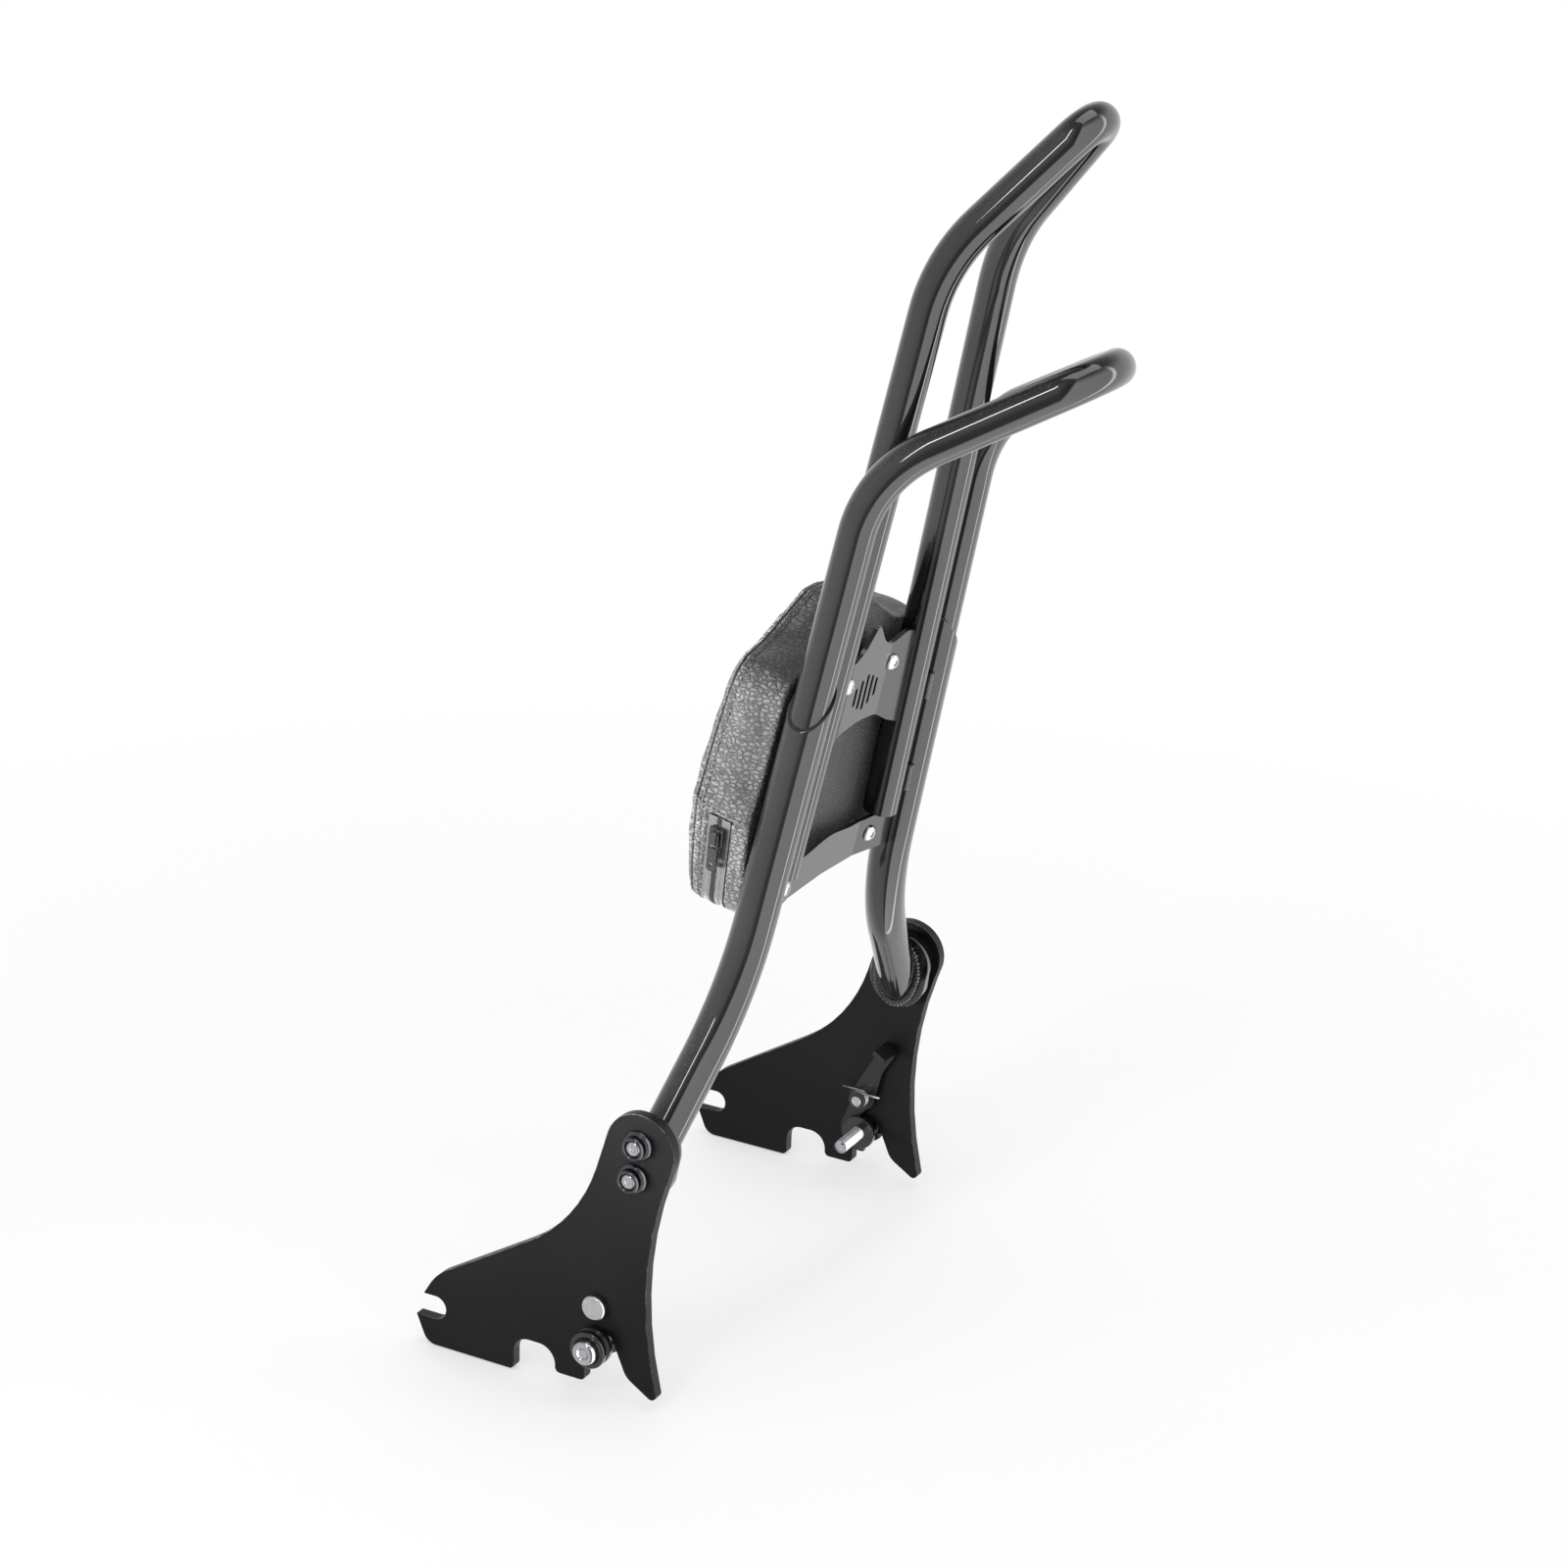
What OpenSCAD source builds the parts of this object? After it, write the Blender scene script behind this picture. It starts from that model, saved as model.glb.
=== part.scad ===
// Passenger backrest for a touring motorbike: two notched side plates, bent tube uprights
// with a low and a tall pointed hoop, two folded brackets and a leather backrest pad.
// Millimetres. X is the bike's right, Y is forward, Z is up. The origin is midway between
// the two rear docking studs. "Height" on the uprights is measured along their own lean.

/* [Side plates] */
// Distance between the mid-planes of the two side plates
plate_spacing = 300; // [270:2:330]
// Steel thickness of each side plate
plate_thick = 6; // [4:0.5:8]
// Half width of the round top lobe
lobe_radius = 19.6; // [19:0.1:19.8]
// Radius of the rear docking notch
notch_radius = 6.6; // [6.2:0.1:7.2]
// Width of the front docking slot
slot_width = 13.2; // [12:0.2:15]
// Distance from the rear notch forward to the closed end of the front slot
slot_reach = 93; // [86:1:98]
// Drop of the front slot's centre below the rear notch
slot_drop = 7.4; // [5:0.2:9]
// Height of the latch pivot above the docking axis
pivot_height = 22; // [21:0.5:24]
// Foot bolt positions, forward and up from the docking axis
foot_bolts = [[-23.4, 119.6], [-20.8, 100.6]];
// Shank radius of the foot bolts
foot_bolt_radius = 4; // [3:0.5:4.5]

/* [Tubes] */
// Rearward lean of the uprights from vertical, degrees
lean_angle = 11.75; // [8:0.25:16]
// Inward lean of each upright leg, degrees
leg_tilt = 3.3; // [2.5:0.1:3.8]
// Outer radius of the lower tubes
lower_tube_radius = 11.1; // [10.8:0.1:11.8]
// Outer radius of both hoops
hoop_radius = 9.525; // [8.9:0.025:9.6]
// Wall of both hoops
hoop_wall = 1.6; // [1.2:0.1:2.4]
// Gap between the low hoop's legs and the bore of the lower tubes
sleeve_gap = 0.15; // [0.1:0.05:0.3]
// Heights where the two weld beads on each side start
weld_heights = [256, 312];
// Length of each weld bead
weld_length = 16; // [10:1:20]
// Half distance between the knees of the lower tubes
knee_half = 80; // [76:1:84]
// Height of the knees
knee_height = 185; // [178:1:192]
// Centre-line radius of the knees
knee_radius = 133; // [100:1:140]
// Height where each lower tube reaches its foot tab
foot_height = 108.3; // [106:0.1:110]
// Height of the middle of the mitred collars
collar_height = 348; // [340:1:356]
// Mitre of the collars from square, degrees
collar_mitre = 47; // [30:1:55]
// Height where the low hoop's legs end inside the lower tubes
low_foot_height = 300; // [280:1:320]
// Height of the low hoop's shoulder corners
low_shoulder_height = 470; // [450:1:490]
// Centre-line radius of the low hoop's shoulders
low_shoulder_radius = 65.5; // [50:0.5:80]
// Rearward reach of the low hoop's point behind its legs
low_tip_back = 115.4; // [100:0.2:130]
// Height of the low hoop's point
low_tip_height = 568.5; // [555:0.5:580]
// Centre-line radius of the low hoop's point
low_tip_radius = 28; // [22:1:36]
// Side distance between the legs of the tall hoop and those of the low hoop
leg_step = 20.8; // [20.8:0.1:22]
// Forward step of the tall hoop's legs
tall_forward = 2.2; // [2:0.1:3]
// Height where the tall hoop's legs end
tall_foot_height = 244.6; // [244.4:0.1:248]
// Height of the tall hoop's shoulder corners
tall_shoulder_height = 573; // [560:1:585]
// Centre-line radius of the tall hoop's shoulders
tall_shoulder_radius = 90; // [70:1:100]
// Rearward reach of the tall hoop's point behind its legs
tall_tip_back = 63.3; // [50:0.1:75]
// Height of the tall hoop's point
tall_tip_height = 683; // [670:1:695]
// Centre-line radius of the tall hoop's point
tall_tip_radius = 14; // [12:1:20]

/* [Foot tabs] */
// Thickness of the foot tabs
tab_thick = 8; // [7:0.5:10]
// Half width of the foot tabs
tab_radius = 17.4; // [17:0.1:18]
// Reach of the tab above the end of the tube
tab_above = 7.6; // [6:0.2:9]
// Reach of the tab below the end of the tube
tab_below = 1.4; // [1:0.1:3]

/* [Brackets] */
// Sheet thickness of both brackets
sheet = 2.5; // [2:0.1:3]
// Rear face of the bracket panels, forward of the low hoop's leg plane
panel_forward = 3.2; // [3:0.1:4]
// Rearward fold of the bracket wings, degrees
fold_angle = 8; // [6:0.5:10]
// Inside bend radius of the folds
fold_radius = 3; // [2:0.5:4]
// Half width of the upper bracket's middle panel
upper_fold = 21; // [19:0.5:22]
// Half width of the lower bracket's middle panel
lower_fold = 36; // [34:0.5:38]
// Upper pad bolt, sideways and up
upper_bolt = [24.5, 341.5];
// Lower pad bolt, sideways and up
lower_bolt = [47.5, 232.5];
// Shank radius of the pad bolts
pad_bolt_radius = 2.5; // [2:0.25:3]
// Length of the pad bolts under the head
pad_bolt_length = 20; // [18:1:22]
// Half height of each of the vented slots from the middle one outwards
vent_half = [9, 7, 4];
// Width of the vented slots
vent_width = 2.6; // [1.6:0.2:3]
// Pitch of the vented slots
vent_pitch = 5.6; // [4:0.2:6]
// Height of the middle of the vented slots above the bracket's lower edge
vent_rise = 16.5; // [15:0.5:18]

/* [Pad] */
// Rear face of the pad, forward of the low hoop's leg plane
pad_back = 12.2; // [12.2:0.1:14]
// Depth of the pad at the middle of its crowned front
pad_depth = 41; // [38:1:46]
// Crown radius of the pad's front
crown_radius = 500; // [400:10:900]
// Height of the middle of the crown
crown_height = 290; // [285:1:295]
// Thickness of the leather cover
cover_thick = 2; // [1:0.1:2.4]
// Thickness of the backing board
board_thick = 6; // [4:0.5:8]
// Gap between the soft pieces and their neighbours
soft_gap = 0.3; // [0.2:0.1:0.5]
// Distance of the zip's middle behind the deepest point of the front
zip_back = 24; // [22:1:26]
// Width of the zip tape
zip_width = 13; // [9:1:14]
// Height where the zip ends on each side
zip_top = 275; // [268:1:278]
// Height of the zip slider when the zip is closed
slider_height = 264; // [262:1:266]

/* [Latches and docking studs] */
// Thickness of the latch levers
lever_thick = 3; // [2.5:0.5:3.5]
// Gap on each side of the latch levers
lever_gap = 0.4; // [0.3:0.1:0.6]
// Radius of the latch pins
pin_radius = 3; // [2.5:0.1:3.2]
// Radius of the silver heads of the latch pins
pin_head_radius = 6.9; // [6:0.1:7.4]
// Reach of the bent thumb tabs
thumb_reach = 12; // [8:1:16]
// Core radius of the docking bushes
core_radius = 6.3; // [5.8:0.1:6.3]
// Rim radius of the docking bushes
rim_radius = 10.4; // [9.5:0.1:11]
// Thread radius of the docking bolts
stud_radius = 4; // [3:0.5:4.5]
// Length of thread beyond the docking bushes
stud_length = 22; // [16:1:30]

/* [Hidden] */
$fn = 48;
slip = 0.03;
running = 0.05;
seam = 0.02;
spigot_inset = 0.4;
bolt_hole = 0.25;
plate_inner = (plate_spacing - plate_thick) / 2;
plate_outer = (plate_spacing + plate_thick) / 2;
foot_x = plate_inner - tab_thick;
lever_outer = plate_inner - lever_gap;
lever_inner = lever_outer - lever_thick;
bush_inner = lever_inner - lever_gap;
bush_flange = 3;
bush_collar = 9;
outer_seat = plate_outer + 0.3;
lower_bore = hoop_radius + sleeve_gap;
spring_wire = 0.6;
spring_turns = 3;
claw_inner = core_radius + 0.9;
claw_outer = claw_inner + 5.8;
board_back = pad_back + cover_thick + soft_gap;
board_front = board_back + board_thick;
foam_back = board_front + soft_gap;
insert_radius = pad_bolt_radius + 1.6;

gloss_black = [0.05, 0.05, 0.055];
satin_black = [0.09, 0.09, 0.09];
silver = [0.8, 0.8, 0.82];
leather = [0.07, 0.07, 0.07];

// Corner lists hold [across, up, corner radius]; outlines run anticlockwise.
plate_outline = [
    [-11, 141.4, lobe_radius],
    [-50, 129.8, lobe_radius],
    [-20.4, 44, 215],
    [-38, -27, 3],
    [-18, -14.5, 12],
    [-9, notch_radius, 3],
    [notch_radius, notch_radius, notch_radius],
    [notch_radius, -24, 3],
    [25, -24, 3],
    [25, -10, 10],
    [50.3, -10, 9],
    [50.3, -30, 3],
    [105, -30, 8],
    [113, -11, 9],
    [99.5, 12, 30],
    [11.4, 66.8, 95]];
upper_half = [
    [0, 314.5, 80],
    [20, 312.2, 20],
    [33, 305.5, 14],
    [52, 299, 0],
    [52, 349, 0],
    [41, 355.5, 5],
    [34, 357.5, 5],
    [20.5, 352.4, 7],
    [11, 357, 14],
    [0, 369.6, 3]];
lower_half = [
    [0, 223.4, 0],
    [80, 220, 0],
    [80, 243.8, 0],
    [40, 242.6, 40],
    [24, 243.4, 40],
    [0, 247, 60]];
pad_half = [
    [0, 215, 300],
    [70.5, 218, 12],
    [84, 279, 12],
    [79.5, 297, 40],
    [75.5, 354.5, 16],
    [42, 358, 45],
    [10, 375.8, 8]];

function unit(v) = v / norm(v);
function flat(p) = [p.x, p.y];
function half_angle(a, b, c) = acos(unit(a - b) * unit(c - b)) / 2;
function setback(a, b, c, r) = r / tan(half_angle(a, b, c));
function run_start(path, radii, i) = i == 0 ? path[0]
    : path[i] + unit(path[i + 1] - path[i])
    * setback(path[i - 1], path[i], path[i + 1], radii[i - 1]);
function run_end(path, radii, i) = i == len(path) - 2 ? path[i + 1]
    : path[i + 1] + unit(path[i] - path[i + 1])
    * setback(path[i], path[i + 1], path[i + 2], radii[i]);
function bend_normal(path, i) = unit(cross(path[i] - path[i - 1], path[i + 1] - path[i]));
function roll(path, i) = let (
    d = unit(path[i] - path[i - 1]),
    n0 = bend_normal(path, i - 1),
    n1 = bend_normal(path, i))
    atan2(cross(n0, n1) * d, n0 * n1);
function before(list, i) = list[(i + len(list) - 1) % len(list)];
function after(list, i) = list[(i + 1) % len(list)];
function both_sides(half) = concat(half,
    [for (i = [len(half) - 1:-1:0]) if (half[i].x > 0) [-half[i].x, half[i].y, half[i].z]]);
function turn_at(a, b, c) = let (u = unit(b - a), v = unit(c - b)) u.x * v.y - u.y * v.x;
function arc_points(centre, r, from, turn, n) =
    [for (k = [0:n]) centre + r * [cos(from + turn * k / n), sin(from + turn * k / n)]];
function corner_arc(a, b, c, r) = r == 0 ? [b] : let (
    half = half_angle(a, b, c),
    start = b + unit(a - b) * r / tan(half),
    centre = b + unit(unit(a - b) + unit(c - b)) * r / sin(half),
    from = atan2(start.y - centre.y, start.x - centre.x),
    turn = (turn_at(a, b, c) > 0 ? 1 : -1) * (180 - 2 * half))
    arc_points(centre, r, from, turn, ceil(abs(turn) / 6) + 1);
function rounded(list) = [for (i = [0:len(list) - 1])
    each corner_arc(flat(before(list, i)), flat(list[i]), flat(after(list, i)), list[i].z)];
function inset(list, g) = [for (i = [0:len(list) - 1]) let (
    a = flat(before(list, i)),
    b = flat(list[i]),
    c = flat(after(list, i)),
    turn = turn_at(a, b, c),
    p = b + g * (unit(c - b) - unit(b - a)) / turn)
    [p.x, p.y, max(0, list[i].z - g * sign(turn))]];
function leg_x(height) = knee_half - (height - knee_height) * tan(leg_tilt);
function inner_leg_x(height) = leg_x(height) - leg_step;
function hoop_path(side_x, foot, shoulder, shoulder_x, back, tip) = [
    [-side_x, 0, foot], [-shoulder_x, 0, shoulder], [0, -back, tip],
    [shoulder_x, 0, shoulder], [side_x, 0, foot]];
low_path = hoop_path(leg_x(low_foot_height), low_foot_height, low_shoulder_height,
    leg_x(low_shoulder_height), low_tip_back, low_tip_height);
tall_path = hoop_path(inner_leg_x(tall_foot_height), tall_foot_height,
    tall_shoulder_height, inner_leg_x(tall_shoulder_height), tall_tip_back, tall_tip_height);
low_radii = [low_shoulder_radius, low_tip_radius, low_shoulder_radius];
tall_radii = [tall_shoulder_radius, tall_tip_radius, tall_shoulder_radius];
tube_top = [leg_x(collar_height + 24), 0, collar_height + 24];
knee = [knee_half, 0, knee_height];
foot = [foot_x, 0, foot_height];
foot_end = foot + 20 * unit(foot - knee);
lean_up = [-sin(lean_angle), cos(lean_angle)];
foot_reach = lower_tube_radius / unit(foot - knee).x - tab_radius;
tab_ends = [(foot_height + foot_reach + tab_above) * lean_up,
    (foot_height - foot_reach - tab_below) * lean_up];
lower_path = [tube_top, knee, foot_end];
pad_outline = both_sides(pad_half);
side_run = unit([pad_half[1].x - pad_half[2].x, pad_half[1].y - pad_half[2].y]);
slider_x = pad_half[2].x + (slider_height - pad_half[2].y) * side_run.x / side_run.y;
zip_middle = pad_back + pad_depth - zip_back;

module ring(outer_r, inner_r) {
    difference() {
        circle(outer_r);
        circle(inner_r);
    }
}

module straight(from, to) {
    d = to - from;
    translate(from)
        rotate([0, acos(d.z / norm(d)), atan2(d.y, d.x)])
            linear_extrude(norm(d)) children();
}

// Tube run along a path of corners, each piece carried on from the end of the one before.
// A hairline seam is left at each bend's ends, with a spigot inside the wall across it.
module bent_tube(path, radii, outer_r, inner_r) {
    d = unit(path[1] - path[0]);
    n = bend_normal(path, 1);
    x = cross(n, d);
    multmatrix([[x.x, n.x, d.x, path[0].x], [x.y, n.y, d.y, path[0].y],
            [x.z, n.z, d.z, path[0].z], [0, 0, 0, 1]])
        tube_from(path, radii, outer_r, inner_r, 1);
}

module spigot(height, outer_r, inner_r) {
    translate([0, 0, height - 1])
        linear_extrude(2) ring(outer_r - spigot_inset, inner_r + spigot_inset);
}

module tube_from(path, radii, outer_r, inner_r, i) {
    long = norm(run_end(path, radii, i - 1) - run_start(path, radii, i - 1));
    low = i == 1 ? 0 : seam;
    high = i == len(path) - 1 ? long : long - seam;
    translate([0, 0, low]) linear_extrude(high - low) ring(outer_r, inner_r);
    if (i > 1) spigot(0, outer_r, inner_r);
    if (i < len(path) - 1) {
        r = radii[i - 1];
        turn = 180 - 2 * half_angle(path[i - 1], path[i], path[i + 1]);
        spigot(long, outer_r, inner_r);
        translate([0, 0, long]) rotate([0, 0, i == 1 ? 0 : roll(path, i)])
            translate([r, 0, 0]) {
                rotate([90, 0, 180]) rotate_extrude(angle = turn)
                    translate([r, 0]) ring(outer_r, inner_r);
                rotate([0, turn, 0]) translate([-r, 0, 0])
                    tube_from(path, radii, outer_r, inner_r, i + 1);
            }
    }
}

module in_upright(forward = 0) {
    rotate([lean_angle, 0, 0]) translate([0, forward, 0]) children();
}

module mirrored() {
    mirror([1, 0, 0]) children();
}

// Side profile, drawn forward and up, pulled out to the right from one x to another.
module side_slab(from, to) {
    translate([from, 0, 0])
        rotate([90, 0, 90]) linear_extrude(to - from) children();
}

// Front outline, drawn across and up, pulled forward from one depth to another.
module front_slab(from, to) {
    translate([0, to, 0]) rotate([90, 0, 0]) linear_extrude(to - from) children();
}

module rod(from, to, r) {
    translate([from, 0, 0]) rotate([0, 90, 0]) cylinder(h = to - from, r = r);
}

module stadium(ends, r) {
    d = ends[1] - ends[0];
    for (p = ends)
        translate(p) circle(r);
    translate(ends[0])
        rotate(atan2(d.y, d.x)) translate([0, slip - r]) square([norm(d), 2 * (r - slip)]);
}

// Side plates
module side_plate() {
    color(satin_black)
        side_slab(plate_inner, plate_outer) difference() {
            polygon(rounded(plate_outline));
            translate([slot_reach + slot_width / 2, -slot_drop]) circle(slot_width / 2);
            translate([slot_reach + slot_width / 2, slip - slot_drop - slot_width / 2])
                square([60, slot_width - 2 * slip]);
            for (p = foot_bolts)
                translate(p) circle(foot_bolt_radius + bolt_hole);
            translate([0, pivot_height]) circle(pin_radius + running);
        }
}

// Foot tabs, their welds and their bolts
module foot_tab() {
    color(gloss_black)
        side_slab(foot_x, plate_inner - slip) difference() {
            stadium(tab_ends, tab_radius);
            for (p = foot_bolts)
                translate(p) circle(foot_bolt_radius + slip);
        }
}

module foot_weld() {
    bead = 2.6;
    color(gloss_black)
        intersection() {
            in_upright() straight(foot - 20 * unit(foot - knee), foot_end)
                ring(lower_tube_radius + bead, lower_tube_radius + slip);
            side_slab(foot_x - bead, foot_x - slip) stadium(tab_ends, tab_radius - 0.4);
        }
}

module foot_bolt_pair() {
    color(gloss_black)
        for (p = foot_bolts)
            translate([0, p.x, p.y]) difference() {
                union() {
                    rod(foot_x + 0.4, plate_outer, foot_bolt_radius);
                    rod(plate_outer + slip - 0.03, plate_outer + 2.2, 8.3);
                    rod(plate_outer + 2.2, plate_outer + 6.4, 6.4);
                }
                rod(plate_outer + 4.6, plate_outer + 7, 4.1);
            }
}

// Tubes
module lower_tube() {
    color(gloss_black)
        in_upright() difference() {
            bent_tube(lower_path, [knee_radius], lower_tube_radius, lower_bore);
            translate([leg_x(collar_height), -40, collar_height])
                rotate([0, collar_mitre, 0]) translate([-60, 0, 0]) cube([120, 80, 60]);
            translate([foot_x - slip, -40, 40]) cube([60, 80, 120]);
        }
}

module low_hoop() {
    color(gloss_black)
        in_upright() bent_tube(low_path, low_radii, hoop_radius, hoop_radius - hoop_wall);
}

module tall_hoop() {
    color(gloss_black)
        in_upright(tall_forward)
            bent_tube(tall_path, tall_radii, hoop_radius, hoop_radius - hoop_wall);
}

// Weld beads in the rear groove between each tall leg and its lower tube
module hoop_weld() {
    weld_side = lower_tube_radius - 0.2;
    low = weld_heights[0] - weld_length;
    high = weld_heights[1] + 2 * weld_length;
    color(gloss_black)
        in_upright() difference() {
            for (h = weld_heights)
                straight([leg_x(h) - weld_side, -4.6, h],
                    [leg_x(h + weld_length) - weld_side, -4.6, h + weld_length])
                    circle(3.6);
            straight([leg_x(low), 0, low], [leg_x(high), 0, high])
                circle(lower_tube_radius + slip);
            straight([inner_leg_x(low), tall_forward, low],
                [inner_leg_x(high), tall_forward, high]) circle(hoop_radius + slip);
        }
}

// Folded brackets
module folded_plan(fold, reach) {
    wing = (reach - fold) * tan(fold_angle);
    deep = sheet / cos(fold_angle);
    front_fold = fold + sheet * tan(fold_angle / 2);
    front_wing = (reach - front_fold) * tan(fold_angle);
    polygon(rounded([
        [-reach, panel_forward - wing, 0],
        [-fold, panel_forward, fold_radius + sheet],
        [fold, panel_forward, fold_radius + sheet],
        [reach, panel_forward - wing, 0],
        [reach, panel_forward - wing + deep, 0],
        [front_fold, panel_forward + sheet, fold_radius],
        [-front_fold, panel_forward + sheet, fold_radius],
        [-reach, panel_forward - wing + deep, 0]]));
}

// Places things at a pad bolt, with their own z pointing forward through the wing.
module at_wing(bolt, fold) {
    middle = panel_forward + sheet / 2 - (bolt.x - fold) * tan(fold_angle);
    translate([bolt.x, middle, bolt.y]) rotate([0, 0, -fold_angle])
        rotate([-90, 0, 0]) children();
}

module at_each_wing() {
    for (k = [0, 1])
        mirror([k, 0, 0]) {
            at_wing(upper_bolt, upper_fold) children();
            at_wing(lower_bolt, lower_fold) children();
        }
}

module upper_bracket() {
    color(gloss_black)
        in_upright() difference() {
            intersection() {
                linear_extrude(low_shoulder_height) folded_plan(upper_fold, upper_half[3].x + 8);
                front_slab(-20, 20) difference() {
                    polygon(rounded(both_sides(upper_half)));
                    for (k = [-2:2])
                        translate([k * vent_pitch, upper_half[0].y + vent_rise]) stadium(
                            [[0, vent_half[abs(k)]], [0, -vent_half[abs(k)]]], vent_width / 2);
                }
            }
            for (k = [-1, 1])
                straight([k * inner_leg_x(280), tall_forward, 280],
                    [k * inner_leg_x(380), tall_forward, 380]) circle(hoop_radius + slip);
            at_each_wing() cylinder(h = 20, r = pad_bolt_radius + bolt_hole, center = true);
        }
}

module lower_bracket() {
    color(gloss_black)
        in_upright() difference() {
            intersection() {
                linear_extrude(low_shoulder_height) folded_plan(lower_fold, lower_half[1].x + 6);
                front_slab(-20, 20) polygon(rounded(both_sides(lower_half)));
            }
            for (k = [-1, 1])
                straight([k * leg_x(200), 0, 200], [k * leg_x(300), 0, 300])
                    circle(lower_tube_radius + slip);
            at_each_wing() cylinder(h = 20, r = pad_bolt_radius + bolt_hole, center = true);
            for (k = [-1, 1])
                translate([k * (knee_half + 10), 0, lower_bolt.y])
                    cube([40, 60, 60], center = true);
        }
}

module pad_bolts() {
    color(silver)
        in_upright() at_each_wing() difference() {
            union() {
                translate([0, 0, -sheet / 2 - slip]) cylinder(h = pad_bolt_length,
                    r = pad_bolt_radius);
                translate([0, 0, -sheet / 2 - slip - 1.4]) cylinder(h = 1.4, r = 4.7);
                translate([0, 0, -sheet / 2 - slip - 2.7]) cylinder(h = 1.3, r = 3.5);
            }
            translate([0, 0, -sheet / 2 - 4]) cylinder(h = 2.6, r = 1.7);
        }
}

module pad_inserts() {
    color(silver)
        in_upright() at_each_wing() translate([0, 0, sheet / 2 + slip]) difference() {
            cylinder(h = pad_bolt_length - sheet + 1, r = insert_radius);
            translate([0, 0, -1])
                cylinder(h = pad_bolt_length - sheet + 1, r = pad_bolt_radius + slip);
        }
}

// Backrest pad
module crown(drop) {
    translate([0, pad_back + pad_depth - crown_radius, crown_height])
        sphere(crown_radius - drop, $fn = 240);
}

module pad_cover() {
    color(leather)
        in_upright() difference() {
            intersection() {
                front_slab(pad_back, pad_back + pad_depth + 2) polygon(rounded(pad_outline));
                crown(0);
            }
            intersection() {
                front_slab(pad_back + cover_thick, pad_back + pad_depth + 2)
                    polygon(rounded(inset(pad_outline, cover_thick)));
                crown(cover_thick);
            }
            at_each_wing()
                cylinder(h = 1.5 * pad_bolt_length, r = insert_radius + soft_gap, center = true);
        }
}

module pad_foam() {
    color([0.85, 0.8, 0.6])
        in_upright() difference() {
            intersection() {
                front_slab(foam_back, pad_back + pad_depth)
                    polygon(rounded(inset(pad_outline, cover_thick + soft_gap)));
                crown(cover_thick + soft_gap);
            }
            at_each_wing()
                cylinder(h = 2 * pad_bolt_length + 4, r = insert_radius + 1, center = true);
        }
}

module pad_board() {
    color([0.75, 0.6, 0.42])
        in_upright() difference() {
            front_slab(board_back, board_front)
                polygon(rounded(inset(pad_outline, cover_thick + 3)));
            at_each_wing() cylinder(h = 60, r = insert_radius + running, center = true);
        }
}

module pad_zip() {
    color([0.03, 0.03, 0.03])
        in_upright() intersection() {
            front_slab(zip_middle - zip_width / 2, zip_middle + zip_width / 2) difference() {
                polygon(rounded(inset(pad_outline, -0.9)));
                polygon(rounded(inset(pad_outline, -0.05)));
            }
            translate([-150, 0, 100]) cube([300, 100, zip_top - 100]);
        }
}

// Places things on the left end of the zip, x outwards from the pad and z up the side.
module at_slider() {
    in_upright() translate([-slider_x, zip_middle, slider_height])
        rotate([0, 0, 180]) rotate([0, atan2(-side_run.x, -side_run.y), 0]) children();
}

module zip_slider() {
    color(silver)
        at_slider() difference() {
            union() {
                translate([1.3, -4, -5]) cube([2, 8, 10]);
                translate([3.3, -1.6, -3.5]) cube([2.8, 3.2, 8]);
            }
            translate([2, 0, 2]) rotate([90, 0, 0]) translate([2.7, 0, -5])
                cylinder(h = 10, r = 0.85);
        }
}

module zip_pull() {
    color(silver)
        at_slider() {
            translate([4.7, 0, 2]) rotate([90, 0, 0])
                cylinder(h = 4.6, r = 0.6, center = true);
            for (k = [0, 1])
                mirror([0, k, 0]) translate([4.2, 1.9, -8]) cube([1, 0.8, 10.4]);
            translate([4.2, 0, -13]) rotate([0, 90, 0]) difference() {
                linear_extrude(1) union() {
                    stadium([[-4.6, 0], [5, 0]], 2.7);
                }
                translate([3.5, 0, -1]) cylinder(h = 3, r = 1.3);
            }
        }
}

// Latches, pivot pins, clips and springs
module lever_profile() {
    difference() {
        union() {
            translate([0, pivot_height]) circle(8);
            polygon(rounded([[-8, pivot_height, 0], [8, pivot_height, 0],
                [-6, pivot_height + 25, 16], [-13, pivot_height + 37, 2],
                [-21, pivot_height + 32, 2], [-12.5, pivot_height + 18, 20]]));
            difference() {
                circle(claw_outer);
                circle(claw_inner);
                polygon([[0, 0], [10, 27.5], [-40, 27.5], [-40, -40], [-7, -40]]);
            }
            polygon([[-4, pivot_height - 6.5], [7, pivot_height - 4],
                [claw_outer - 0.7, 3.5], [claw_inner + 1.2, 2.2],
                [2.9, claw_inner + 0.7]]);
        }
        translate([0, pivot_height]) circle(pin_radius + 0.08);
    }
}

module latch() {
    color(satin_black) {
        side_slab(lever_inner, lever_outer) lever_profile();
        translate([0, -21, pivot_height + 32]) rotate([32, 0, 0])
            translate([lever_inner - thumb_reach, 1.2, -lever_thick])
                cube([thumb_reach + lever_thick, 8.4, lever_thick]);
    }
}

module latch_pin() {
    color(silver)
        translate([0, 0, pivot_height]) difference() {
            union() {
                rod(lever_inner - 8, outer_seat, pin_radius);
                rod(outer_seat, outer_seat + 3.2, pin_head_radius);
                rod(outer_seat + 3.2, outer_seat + 4, pin_head_radius - 0.8);
            }
            translate([lever_inner - 7, 0, 0]) rotate([0, 90, 0])
                linear_extrude(1.1) ring(pin_radius + 1, pin_radius - 0.6);
        }
}

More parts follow.
